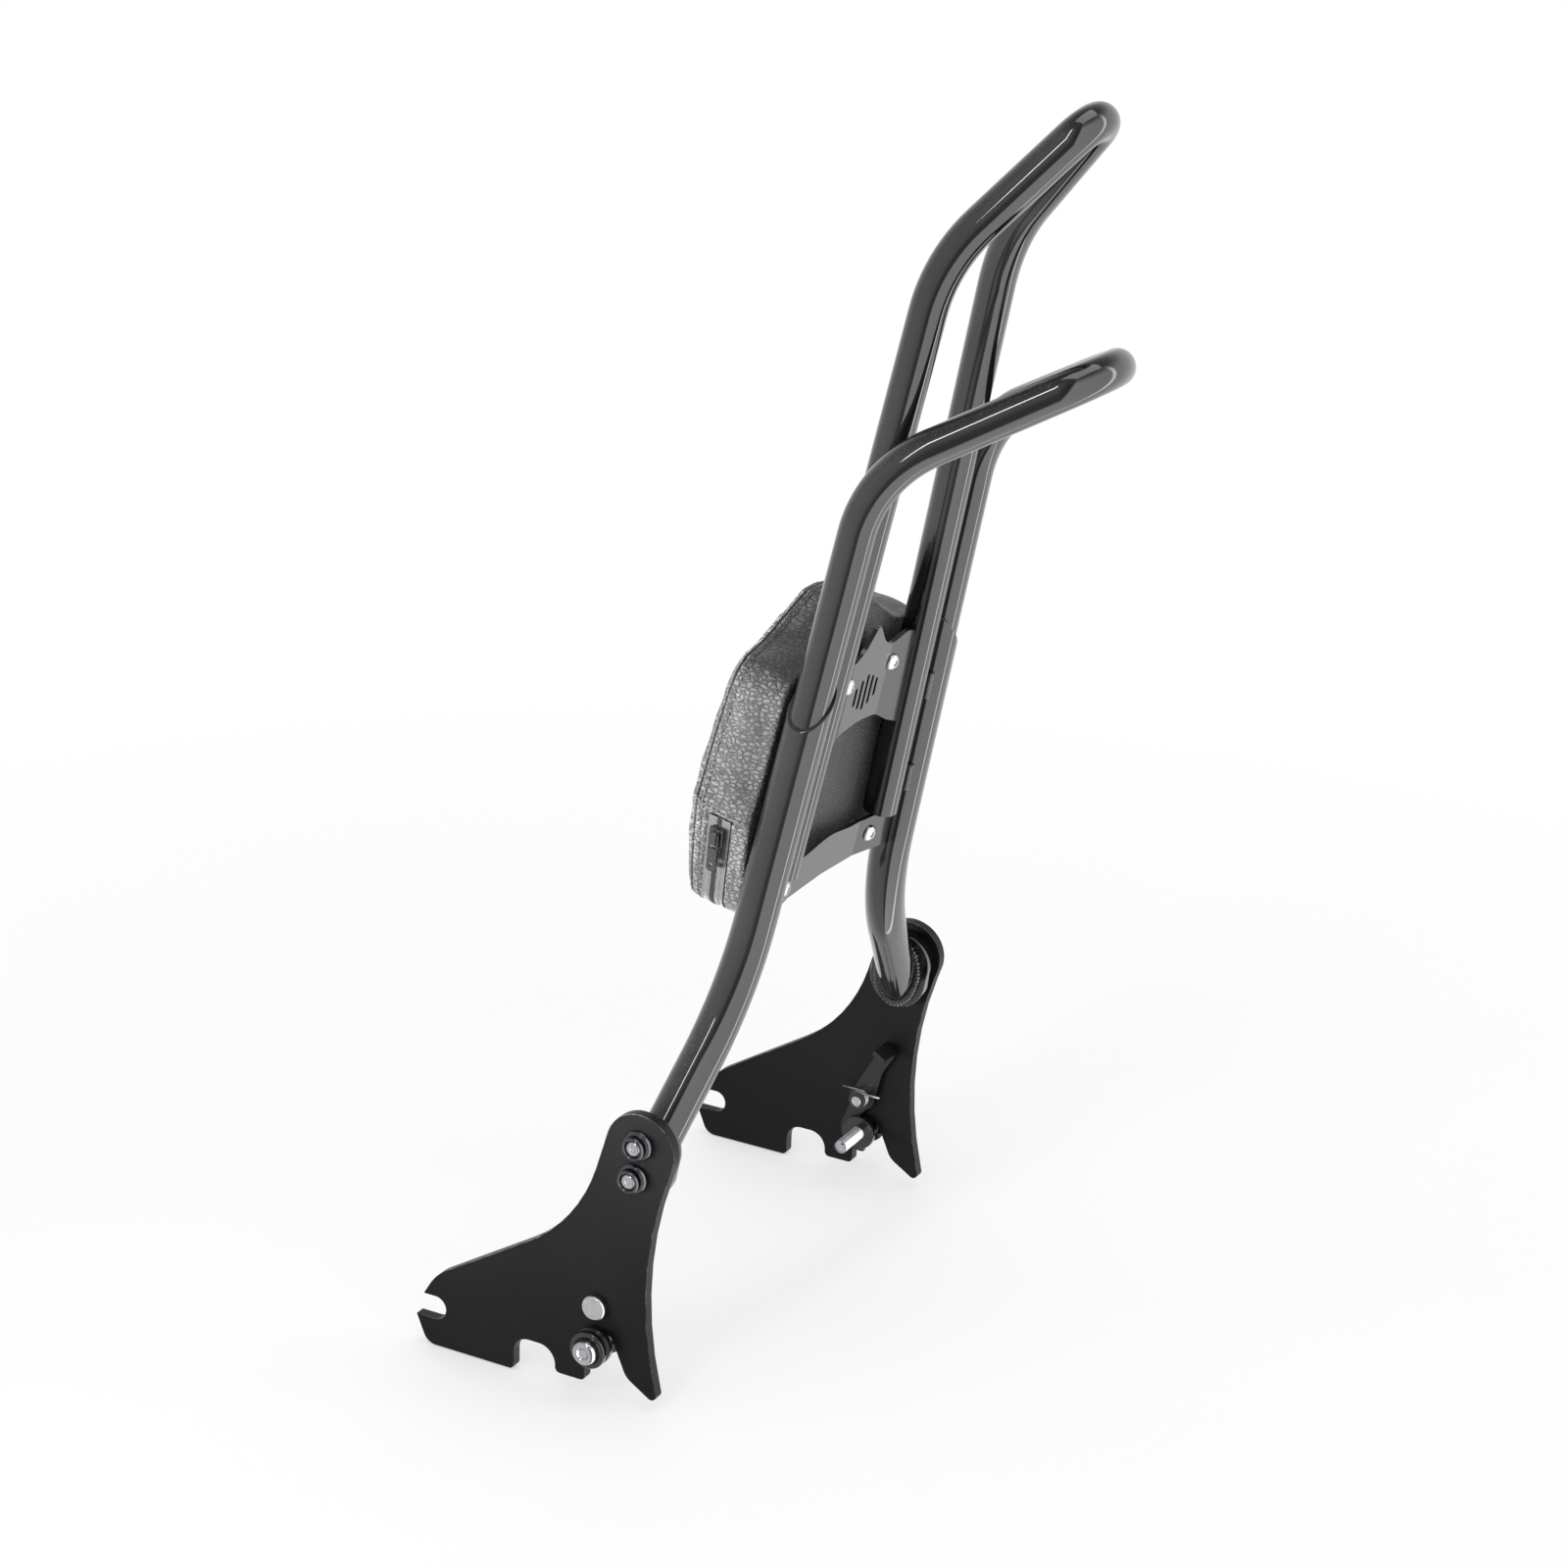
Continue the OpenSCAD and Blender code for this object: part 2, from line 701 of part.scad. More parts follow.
module latch_clip() {
    color(satin_black)
        translate([lever_inner - 6.95, 0, pivot_height]) rotate([0, 90, 0])
            linear_extrude(1) difference() {
                circle(pin_radius + 2.2);
                circle(pin_radius - 0.55);
                translate([0, -1.6]) square([10, 3.2]);
            }
}

// Torsion spring: a round wire wound about the pin with two straight tails.
function spring_point(i, n) = let (turn = 360 * spring_turns * i / n)
    [lever_inner - 5.2 + 4.2 * i / n, 4.6 * sin(turn), 4.6 * cos(turn)];
module latch_spring() {
    n = 24 * spring_turns;
    sides = 8;
    wound = [for (i = [0:n]) spring_point(i, n)];
    line = concat([wound[0] + [0, -14, 0]], wound, [wound[n] + [0, 12, 0]]);
    last = len(line) - 1;
    rings = [for (i = [0:last]) let (
        d = unit(line[min(i + 1, last)] - line[max(i - 1, 0)]),
        u = unit(cross(d, [1, 0, 0])),
        v = cross(d, u))
        for (k = [0:sides - 1]) line[i]
            + spring_wire * (u * cos(360 * k / sides) + v * sin(360 * k / sides))];
    walls = [for (i = [0:last - 1], k = [0:sides - 1])
        [i * sides + k, i * sides + (k + 1) % sides,
            (i + 1) * sides + (k + 1) % sides, (i + 1) * sides + k]];
    color(silver)
        translate([0, 0, pivot_height]) polyhedron(rings, concat(walls,
            [[for (k = [sides - 1:-1:0]) k]],
            [[for (k = [0:sides - 1]) last * sides + k]]), convexity = 8);
}

// Docking studs
module dock_bush() {
    color(gloss_black)
        difference() {
            union() {
                rod(bush_inner - bush_flange, bush_inner, rim_radius - 0.4);
                rod(bush_inner, outer_seat, core_radius);
                rod(outer_seat, outer_seat + 3.6, rim_radius);
                rod(outer_seat + 3.6, outer_seat + 5.8, rim_radius - 1.1);
                rod(outer_seat + 5.8, outer_seat + bush_collar, rim_radius);
            }
            rod(bush_inner - 10, outer_seat + 20, stud_radius + slip);
        }
}

module dock_bolt() {
    color(silver)
        difference() {
            union() {
                rod(bush_inner - bush_flange - stud_length, outer_seat + bush_collar + 0.03,
                    stud_radius);
                rod(outer_seat + bush_collar + slip, outer_seat + bush_collar + 3.4, 6.8);
                rod(outer_seat + bush_collar + 3.4, outer_seat + bush_collar + 4.6, 5.8);
            }
            rod(outer_seat + bush_collar + 2.4, outer_seat + bush_collar + 6, 2.6);
        }
}

mirrored() side_plate();  // side_plate_left
side_plate();  // side_plate_right
mirrored() foot_tab();  // foot_tab_left
foot_tab();  // foot_tab_right
mirrored() foot_weld();  // foot_weld_left
foot_weld();  // foot_weld_right
mirrored() lower_tube();  // lower_tube_left
lower_tube();  // lower_tube_right
low_hoop();
tall_hoop();
mirrored() hoop_weld();  // hoop_weld_left
hoop_weld();  // hoop_weld_right
upper_bracket();
lower_bracket();
pad_bolts();
pad_inserts();
mirrored() foot_bolt_pair();  // foot_bolts_left
foot_bolt_pair();  // foot_bolts_right
mirrored() latch();  // latch_left
latch();  // latch_right
mirrored() latch_pin();  // latch_pin_left
latch_pin();  // latch_pin_right
union() {  // latch_clips
    latch_clip();
    mirrored() latch_clip();
}
mirrored() latch_spring();  // latch_spring_left
latch_spring();  // latch_spring_right
mirrored() dock_bush();  // dock_bush_left
dock_bush();  // dock_bush_right
mirrored() dock_bolt();  // dock_bolt_left
dock_bolt();  // dock_bolt_right
pad_cover();
pad_foam();
pad_board();
pad_zip();
zip_slider();
zip_pull();
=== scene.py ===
import math

import bmesh
import bpy
import numpy as np
from mathutils import Matrix, Quaternion, Vector
from mathutils.bvhtree import BVHTree
from mathutils.kdtree import KDTree


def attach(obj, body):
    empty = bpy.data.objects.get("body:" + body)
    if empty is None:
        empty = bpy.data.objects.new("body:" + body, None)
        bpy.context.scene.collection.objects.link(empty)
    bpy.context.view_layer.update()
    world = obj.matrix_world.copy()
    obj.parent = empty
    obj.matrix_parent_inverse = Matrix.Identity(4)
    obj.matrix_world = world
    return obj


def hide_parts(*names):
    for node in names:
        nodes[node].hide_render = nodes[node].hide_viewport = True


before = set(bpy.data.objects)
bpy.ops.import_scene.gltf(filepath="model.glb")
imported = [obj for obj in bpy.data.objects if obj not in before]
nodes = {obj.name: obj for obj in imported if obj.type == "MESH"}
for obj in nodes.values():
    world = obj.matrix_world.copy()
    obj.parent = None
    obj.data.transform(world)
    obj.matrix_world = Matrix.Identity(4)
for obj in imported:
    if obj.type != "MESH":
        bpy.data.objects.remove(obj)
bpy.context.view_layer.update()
scene = bpy.context.scene
LEAN = math.radians(11.75)
TILT = math.radians(3.3)
KNEE, KNEE_X, LEG_GAP = 185, 80, 20.8


def upright(x, forward, height):
    """A point on the leaning uprights, given in millimetres."""
    c, s = math.cos(LEAN), math.sin(LEAN)
    return Vector((x, forward * c - height * s, forward * s + height * c)) / 1000


def turned_upright(x, forward, height):
    """A direction on the leaning uprights."""
    return upright(x, forward, height).normalized()


def leg_x(height):
    """How far out the lower tubes and the low hoop stand at a height above the knee."""
    return KNEE_X - (height - KNEE) * math.tan(TILT)


def inner_leg_x(height):
    """The same for the tall hoop, which stands inside the lower tubes."""
    return leg_x(height) - LEG_GAP


# Small builders for the looks

class Nodes:
    """Short ways to add and join the nodes of one tree."""

    def __init__(self, tree):
        self.tree = tree

    def add(self, kind, values=(), **settings):
        made = self.tree.nodes.new(kind)
        for key, value in settings.items():
            setattr(made, key, value)
        for socket, value in dict(values).items():
            if isinstance(value, bpy.types.NodeSocket):
                self.tree.links.new(value, made.inputs[socket])
            else:
                made.inputs[socket].default_value = value
        return made

    def number(self, operation, *values, clamp=False):
        made = self.add("ShaderNodeMath", operation=operation, use_clamp=clamp)
        for k, value in enumerate(values):
            if isinstance(value, bpy.types.NodeSocket):
                self.tree.links.new(value, made.inputs[k])
            else:
                made.inputs[k].default_value = value
        return made.outputs[0]


class Look(Nodes):
    """One procedural material."""

    def __init__(self, name, **settings):
        self.material = bpy.data.materials.new(name)
        self.material.use_nodes = True
        self.tree = self.material.node_tree
        self.shader = self.tree.nodes["Principled BSDF"]
        for socket, value in settings.items():
            self.shader.inputs[socket.replace("_", " ")].default_value = value

    def group(self, tree, **values):
        made = self.add("ShaderNodeGroup", node_tree=tree)
        for key, value in values.items():
            socket = made.inputs[key.replace("_", " ")]
            if isinstance(value, bpy.types.NodeSocket):
                self.tree.links.new(value, socket)
            else:
                socket.default_value = value
        return made

    def into(self, **sources):
        for socket, source in sources.items():
            self.tree.links.new(source, self.shader.inputs[socket.replace("_", " ")])

    def where(self):
        return self.add("ShaderNodeTexCoord").outputs["Object"]


class Effect(Nodes):
    """A shared shader group that puts out colours, masks, values or normals."""

    def __init__(self, name, takes, gives):
        self.tree = bpy.data.node_groups.new(name, "ShaderNodeTree")
        for socket, (kind, value) in takes.items():
            made = self.tree.interface.new_socket(
                name=socket, in_out="INPUT", socket_type="NodeSocket" + kind)
            if value is not None:
                made.default_value = value
        for socket, kind in gives.items():
            self.tree.interface.new_socket(
                name=socket, in_out="OUTPUT", socket_type="NodeSocket" + kind)
        self.taken = self.tree.nodes.new("NodeGroupInput").outputs
        self.given = self.tree.nodes.new("NodeGroupOutput").inputs

    def give(self, socket, source):
        self.tree.links.new(source, self.given[socket])


def ramp(look, source, low, high, start=0.0, end=1.0):
    made = look.add("ShaderNodeMapRange", {"Value": source, "From Min": low, "From Max": high,
                                           "To Min": start, "To Max": end})
    return made.outputs["Result"]


def coat_effect():
    """Faint waviness of a baked coating, with soft smears and a little settled dust."""
    e = Effect("coating", {"Place": ("Vector", None), "Wave size": ("Float", 420.0),
                           "Wave depth": ("Float", 0.02), "Smear": ("Float", 0.05),
                           "Base roughness": ("Float", 0.1)},
               {"Roughness": "Float", "Normal": "Vector", "Dust": "Float"})
    wave = e.add("ShaderNodeTexNoise", {"Vector": e.taken["Place"],
                                        "Scale": e.taken["Wave size"], "Detail": 3.0})
    lift = e.add("ShaderNodeBump", {"Height": wave.outputs["Fac"], "Distance": 0.0004,
                                    "Strength": e.taken["Wave depth"]})
    smear = e.add("ShaderNodeTexNoise", {"Vector": e.taken["Place"], "Scale": 24.0,
                                         "Detail": 4.0, "Roughness": 0.6})
    patch = ramp(e, smear.outputs["Fac"], 0.42, 0.7)
    speck = e.add("ShaderNodeTexNoise", {"Vector": e.taken["Place"], "Scale": 900.0,
                                         "Detail": 1.0})
    fine = ramp(e, speck.outputs["Fac"], 0.35, 0.75, -0.3, 0.3)
    rough = e.number("MULTIPLY", e.number("ADD", patch, fine), e.taken["Smear"])
    e.give("Roughness", e.number("ADD", rough, e.taken["Base roughness"], clamp=True))
    e.give("Normal", lift.outputs["Normal"])
    up = e.add("ShaderNodeSeparateXYZ",
               {"Vector": e.add("ShaderNodeNewGeometry").outputs["Normal"]})
    settled = e.number("MULTIPLY", ramp(e, up.outputs["Z"], 0.3, 1.0),
                       ramp(e, speck.outputs["Fac"], 0.56, 0.8))
    e.give("Dust", settled)
    return e.tree


def edge_effect():
    """Lighter metal showing along worn edges, broken up by noise."""
    e = Effect("worn edges", {"Place": ("Vector", None), "Width": ("Float", 0.6)},
               {"Mask": "Float"})
    edge = e.add("ShaderNodeAttribute", attribute_name="worn").outputs["Fac"]
    broken = e.add("ShaderNodeTexNoise", {"Vector": e.taken["Place"], "Scale": 180.0,
                                          "Detail": 6.0, "Roughness": 0.7})
    parts = ramp(e, broken.outputs["Fac"], 0.45, 0.62)
    e.give("Mask", e.number("MULTIPLY", e.number("MULTIPLY", edge, parts),
                            e.taken["Width"], clamp=True))
    return e.tree


def leather_effect():
    """Pebbled grain in two sizes, with fine pores and longer creases; the hollows between the
    pebbles get painted shade.
    """
    e = Effect("leather grain", {"Place": ("Vector", None), "Grain size": ("Float", 460.0),
                                 "Stretch": ("Float", 0.62)},
               {"Normal": "Vector", "Painted hollow shade": "Float", "Rub": "Float"})
    wobble = e.add("ShaderNodeTexNoise", {"Vector": e.taken["Place"], "Scale": 130.0,
                                          "Detail": 3.0})
    pull = e.add("ShaderNodeVectorMath", {0: wobble.outputs["Color"], "Scale": 0.0022},
                 operation="SCALE")
    moved = e.add("ShaderNodeVectorMath", {0: e.taken["Place"], 1: pull.outputs[0]},
                  operation="ADD")
    lengths = e.add("ShaderNodeCombineXYZ", {"X": e.taken["Stretch"],
                                             "Y": e.taken["Stretch"], "Z": 1.0})
    sized = e.add("ShaderNodeVectorMath", {0: moved.outputs[0], 1: lengths.outputs[0]},
                  operation="MULTIPLY")
    cells = e.add("ShaderNodeTexVoronoi", {"Vector": sized.outputs[0],
                                           "Scale": e.taken["Grain size"]},
                  feature="DISTANCE_TO_EDGE")
    small = e.add("ShaderNodeTexVoronoi", {
        "Vector": sized.outputs[0],
        "Scale": e.number("MULTIPLY", e.taken["Grain size"], 2.3)},
        feature="DISTANCE_TO_EDGE")
    pore = e.add("ShaderNodeTexNoise", {"Vector": e.taken["Place"], "Scale": 2600.0,
                                        "Detail": 2.0})
    crease = e.add("ShaderNodeTexNoise", {"Vector": e.taken["Place"], "Scale": 90.0,
                                          "Detail": 5.0, "Roughness": 0.62})
    round_top = ramp(e, cells.outputs["Distance"], 0.0, 0.3)
    round_small = ramp(e, small.outputs["Distance"], 0.0, 0.35)
    height = e.number("ADD", e.number("MULTIPLY", round_top, 0.65),
                      e.number("MULTIPLY", round_small, 0.25))
    height = e.number("ADD", height, e.number("MULTIPLY", pore.outputs["Fac"], 0.12))
    height = e.number("ADD", height, e.number("MULTIPLY", crease.outputs["Fac"], 0.9))
    lift = e.add("ShaderNodeBump", {"Height": height, "Distance": 0.0007, "Strength": 0.75})
    e.give("Normal", lift.outputs["Normal"])
    # Painted shade mask: full in the hollows between the pebbles, falling to nothing on their
    # tops.
    e.give("Painted hollow shade", e.number("SUBTRACT", 1.0, round_top))
    rub = e.add("ShaderNodeTexNoise", {"Vector": e.taken["Place"], "Scale": 16.0,
                                       "Detail": 3.0})
    e.give("Rub", ramp(e, rub.outputs["Fac"], 0.4, 0.66))
    return e.tree


def weave_effect():
    """Herringbone of a woven tape, read from the piece's own length and width."""
    e = Effect("herringbone", {"Place": ("Vector", None), "Rib": ("Float", 0.9)},
               {"Thread": "Float", "Normal": "Vector"})
    parts = e.add("ShaderNodeSeparateXYZ", {"Vector": e.taken["Place"]})
    side = e.number("ABSOLUTE", e.number("SUBTRACT", e.number(
        "FRACT", e.number("DIVIDE", parts.outputs["X"], 3.2)), 0.5))
    slant = e.number("ADD", e.number("DIVIDE", parts.outputs["Y"], e.taken["Rib"]),
                     e.number("MULTIPLY", side, 4.0))
    thread = e.number("SINE", e.number("MULTIPLY", slant, 2 * math.pi))
    raised = ramp(e, thread, -1.0, 1.0)
    fuzz = e.add("ShaderNodeTexNoise", {"Vector": e.taken["Place"], "Scale": 6.0,
                                        "Detail": 3.0})
    height = e.number("ADD", raised, e.number("MULTIPLY", fuzz.outputs["Fac"], 0.4))
    lift = e.add("ShaderNodeBump", {"Height": height, "Distance": 0.0002, "Strength": 0.8})
    e.give("Thread", raised)
    e.give("Normal", lift.outputs["Normal"])
    return e.tree


COATING, EDGES, GRAIN, WEAVE = coat_effect(), edge_effect(), leather_effect(), weave_effect()


def coated(name, colour, roughness, wave_depth, smear, wear, coat=0.0, wave_size=420.0,
           shine=0.5):
    """Baked black coating: its colour, a clear top where it is glossy, dust and edge wear."""
    look = Look(name, Coat_Weight=coat, Coat_Roughness=0.03, Specular_IOR_Level=shine)
    place = look.where()
    coat_part = look.group(COATING, Place=place, Wave_depth=wave_depth, Smear=smear,
                           Base_roughness=roughness, Wave_size=wave_size)
    edge = look.group(EDGES, Place=place, Width=wear)
    tone = look.add("ShaderNodeTexNoise", {"Vector": place, "Scale": 9.0, "Detail": 3.0})
    shade = look.add("ShaderNodeMix", {
        "Factor": ramp(look, tone.outputs["Fac"], 0.35, 0.7),
        "A": (*colour, 1), "B": (*[c * 1.35 + 0.001 for c in colour], 1)}, data_type="RGBA")
    dusted = look.add("ShaderNodeMix", {
        "Factor": look.number("MULTIPLY", coat_part.outputs["Dust"], 0.18),
        "A": shade.outputs["Result"], "B": (0.16, 0.155, 0.15, 1)}, data_type="RGBA")
    worn = look.add("ShaderNodeMix", {
        "Factor": edge.outputs["Mask"], "A": dusted.outputs["Result"],
        "B": (0.22, 0.22, 0.225, 1)}, data_type="RGBA")
    look.into(Base_Color=worn.outputs["Result"], Roughness=coat_part.outputs["Roughness"],
              Normal=coat_part.outputs["Normal"])
    return look.material


def metal(name, colour, roughness, smear=0.06, turned=False, wave_depth=0.01):
    """Bare or plated metal with smears, fine marks and, where it is faced, a turned sheen."""
    look = Look(name, Metallic=1.0, Anisotropic=0.92 if turned else 0.0)
    place = look.where()
    coat_part = look.group(COATING, Place=place, Wave_depth=wave_depth, Smear=smear,
                           Base_roughness=roughness, Wave_size=700.0)
    tone = look.add("ShaderNodeTexNoise", {"Vector": place, "Scale": 260.0, "Detail": 5.0})
    shade = look.add("ShaderNodeMix", {
        "Factor": ramp(look, tone.outputs["Fac"], 0.3, 0.75),
        "A": (*[c * 0.82 for c in colour], 1), "B": (*colour, 1)}, data_type="RGBA")
    look.into(Base_Color=shade.outputs["Result"], Roughness=coat_part.outputs["Roughness"],
              Normal=coat_part.outputs["Normal"])
    if turned:
        round_way = look.add("ShaderNodeTangent", direction_type="RADIAL", axis="X")
        look.into(Tangent=round_way.outputs["Tangent"])
    return look.material


def leather(name):
    look = Look(name, Specular_IOR_Level=0.55, Sheen_Weight=0.08, Sheen_Roughness=0.4)
    place = look.where()
    grain = look.group(GRAIN, Place=place)
    base = look.add("ShaderNodeMix", {"Factor": grain.outputs["Rub"],
                                      "A": (0.04, 0.04, 0.041, 1),
                                      "B": (0.056, 0.056, 0.057, 1)}, data_type="RGBA")
    # Painted shade: the leather colour goes to near black in the hollows between the pebbles.
    hollow_shade = look.add("ShaderNodeMix", {"Factor": grain.outputs["Painted hollow shade"],
                                      "A": base.outputs["Result"],
                                      "B": (0.012, 0.012, 0.012, 1)}, data_type="RGBA")
    rough = ramp(look, grain.outputs["Rub"], 0.0, 1.0, 0.46, 0.37)
    look.into(Base_Color=hollow_shade.outputs["Result"], Roughness=rough,
              Normal=grain.outputs["Normal"])
    return look.material


def woven(name, colour):
    look = Look(name, Sheen_Weight=0.25, Sheen_Roughness=0.5)
    along = look.add("ShaderNodeUVMap", uv_map="tape").outputs["UV"]
    tape = look.group(WEAVE, Place=along)
    shade = look.add("ShaderNodeMix", {
        "Factor": tape.outputs["Thread"], "A": (*[c * 0.35 for c in colour], 1),
        "B": (*colour, 1)}, data_type="RGBA")
    look.shader.inputs["Roughness"].default_value = 0.72
    look.into(Base_Color=shade.outputs["Result"], Normal=tape.outputs["Normal"])
    return look.material


def wood(name):
    look = Look(name)
    place = look.where()
    rings = look.add("ShaderNodeTexWave", {"Vector": place, "Scale": 60.0,
                                           "Distortion": 6.0, "Detail": 3.0})
    shade = look.add("ShaderNodeMix", {"Factor": rings.outputs["Fac"],
                                       "A": (0.42, 0.29, 0.16, 1),
                                       "B": (0.6, 0.45, 0.28, 1)}, data_type="RGBA")
    lift = look.add("ShaderNodeBump", {"Height": rings.outputs["Fac"], "Strength": 0.2,
                                       "Distance": 0.0005})
    look.shader.inputs["Roughness"].default_value = 0.75
    look.into(Base_Color=shade.outputs["Result"], Normal=lift.outputs["Normal"])
    return look.material


gloss = coated("gloss black coating", (0.003, 0.003, 0.0032), 0.06, 0.006, 0.03, 0.2,
               coat=0.6)
bracket_black = coated("bracket coating", (0.004, 0.004, 0.0042), 0.13, 0.03, 0.05, 0.25,
                       coat=0.4)
satin = coated("satin black coating", (0.003, 0.003, 0.0031), 0.4, 0.1, 0.08, 0.35,
               wave_size=900.0, shine=0.18)
latch_black = coated("latch coating", (0.005, 0.005, 0.0052), 0.28, 0.06, 0.08, 0.4)
black_chrome = metal("black chrome", (0.13, 0.13, 0.14), 0.12)
bright = metal("bright turned metal", (0.7, 0.7, 0.72), 0.24, smear=0.01, turned=True)
polished = metal("polished bolt", (0.62, 0.62, 0.64), 0.12)
zinc = metal("zinc plate", (0.6, 0.6, 0.59), 0.3, smear=0.15, wave_depth=0.05)
oxide = metal("black oxide", (0.09, 0.09, 0.09), 0.35)
spring_steel = metal("spring steel", (0.42, 0.42, 0.43), 0.25)
nickel = metal("dark nickel", (0.2, 0.2, 0.21), 0.24, smear=0.1)
hide = leather("black leather")
tape_cloth = woven("zip tape", (0.03, 0.03, 0.031))
plywood = wood("plywood")
thread_look = Look("waxed thread", Roughness=0.5, Sheen_Weight=0.2)
twist = thread_look.add("ShaderNodeTexWave", {"Vector": thread_look.where(),
                                              "Scale": 900.0, "Distortion": 2.0})
tint = thread_look.add("ShaderNodeMix", {
    "Factor": twist.outputs["Fac"], "A": (0.004, 0.004, 0.004, 1),
    "B": (0.02, 0.02, 0.021, 1)}, data_type="RGBA")
thread_look.into(Base_Color=tint.outputs["Result"])
thread = thread_look.material


# Small builders for the shapes

def on_body(made, body="frame", instead_of=()):
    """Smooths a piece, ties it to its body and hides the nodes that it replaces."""
    for polygon in made.data.polygons:
        polygon.use_smooth = True
    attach(made, body)
    if instead_of:
        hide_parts(*instead_of)
    return made


def shown(name, mesh, look, body="frame", instead_of=()):
    """Puts a finished mesh into the scene as a piece on its body."""
    mesh.materials.clear()
    mesh.materials.append(look)
    made = bpy.data.objects.new(name, mesh)
    scene.collection.objects.link(made)
    return on_body(made, body, instead_of)


def mesh_of(name, vertices, faces):
    mesh = bpy.data.meshes.new(name)
    mesh.from_pydata([tuple(v) for v in vertices], [], faces)
    mesh.validate()
    work = bmesh.new()
    work.from_mesh(mesh)
    bmesh.ops.recalc_face_normals(work, faces=work.faces)
    work.to_mesh(mesh)
    work.free()
    return mesh


def settle(made):
    """Turns a piece's modifiers into its own mesh."""
    bpy.context.view_layer.update()
    seen = made.evaluated_get(bpy.context.evaluated_depsgraph_get())
    fixed = bpy.data.meshes.new_from_object(seen)
    made.modifiers.clear()
    made.data = fixed
    return made


def even_shading(made):
    weigh = made.modifiers.new("shading", "WEIGHTED_NORMAL")
    weigh.mode = "FACE_AREA"
    weigh.keep_sharp = False
    return settle(made)


def eased(name, node, width, look, body="frame", segments=2, from_angle=28):
    """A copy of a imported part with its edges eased, shown in the part's place."""
    mesh = nodes[node].data.copy()
    work = bmesh.new()
    work.from_mesh(mesh)
    bmesh.ops.remove_doubles(work, verts=work.verts, dist=2e-6)
    bmesh.ops.dissolve_limit(work, angle_limit=math.radians(0.4), verts=work.verts,
                             edges=work.edges, use_dissolve_boundaries=False)
    bmesh.ops.recalc_face_normals(work, faces=work.faces)
    worn = work.faces.layers.float.new("worn")
    sharp = [e for e in work.edges
             if e.is_manifold and e.calc_face_angle(0) > math.radians(from_angle)]
    cut = bmesh.ops.bevel(work, geom=sharp, offset=width / 1000, offset_type="OFFSET",
                          segments=segments, profile=0.5, affect="EDGES",
                          clamp_overlap=True)
    for face in cut["faces"]:
        face[worn] = 1.0
    fresh = bpy.data.meshes.new(name)
    work.to_mesh(fresh)
    work.free()
    bpy.data.meshes.remove(mesh)
    return even_shading(shown(name, fresh, look, body, (node,)))


def rounded_path(corners, radii, fine=2.5):
    """Points along straight runs joined by arcs."""
    points = [corners[0]]
    for a, b, c, r in zip(corners, corners[1:], corners[2:], radii):
        u, v = (a - b).normalized(), (c - b).normalized()
        half = u.angle(v) / 2
        start, end = b + u * (r / math.tan(half)), b + v * (r / math.tan(half))
        centre = b + (u + v).normalized() * (r / math.sin(half))
        turn = math.pi - 2 * half
        axis = (start - centre).cross(end - centre).normalized()
        steps = max(6, int(math.degrees(turn) / fine))
        points += [centre + Quaternion(axis, turn * k / steps) @ (start - centre)
                   for k in range(steps + 1)]
    return points + [corners[-1]]


def rings_along(points, radius, sides):
    """Circles set square to a line of points, without twist."""
    count = len(points)
    ways = [(points[min(i + 1, count - 1)] - points[max(i - 1, 0)]).normalized()
            for i in range(count)]
    across = ways[0].orthogonal().normalized()
    rings = []
    for i, point in enumerate(points):
        if i:
            across = ways[i - 1].rotation_difference(ways[i]) @ across
            across = (across - ways[i] * across.dot(ways[i])).normalized()
        other = ways[i].cross(across)
        rings.append([point + radius * (across * math.cos(2 * math.pi * k / sides)
                                        + other * math.sin(2 * math.pi * k / sides))
                      for k in range(sides)])
    return rings


def skin(count, sides):
    """Faces between neighbouring rings, for vertices listed ring by ring."""
    return [(i * sides + k, i * sides + (k + 1) % sides,
             (i + 1) * sides + (k + 1) % sides, (i + 1) * sides + k)
            for i in range(count - 1) for k in range(sides)]


def capped(count, sides):
    """The same faces, with both ends closed."""
    return skin(count, sides) + [tuple(range(sides)),
                                 tuple(count * sides - 1 - k for k in range(sides))]


def end_rings(ring, centre, radius, depth_way, lip):
    """The rounded rim of an open tube end, going from its outside into its bore."""
    outward = [(v - centre).normalized() for v in ring]
    size = (ring[0] - centre).length
    out = []
    for way, r in ((0.0, size - lip * 0.3), (lip * 0.3, size - lip), (lip * 0.3, radius + lip),
                   (0.0, radius + lip * 0.3), (-lip, radius), (-0.03, radius)):
        out.append([centre + o * r + depth_way * way for o in outward])
    return out


def open_tube(name, points, radius, bore, look, node, sides=72):
    """A bent tube with rounded rims and a bore that can be looked into."""
    rings = rings_along(points, radius, sides)
    first, last = (points[0] - points[1]).normalized(), (points[-1] - points[-2]).normalized()
    lip = 0.0003
    start = end_rings(rings[0], points[0], bore, first, lip)
    end = end_rings(rings[-1], points[-1], bore, last, lip)
    whole = list(reversed(start)) + rings + end
    vertices = [v for ring in whole for v in ring]
    faces = capped(len(whole), sides)
    return even_shading(shown(name, mesh_of(name, vertices, faces), look,
                              instead_of=(node,)))


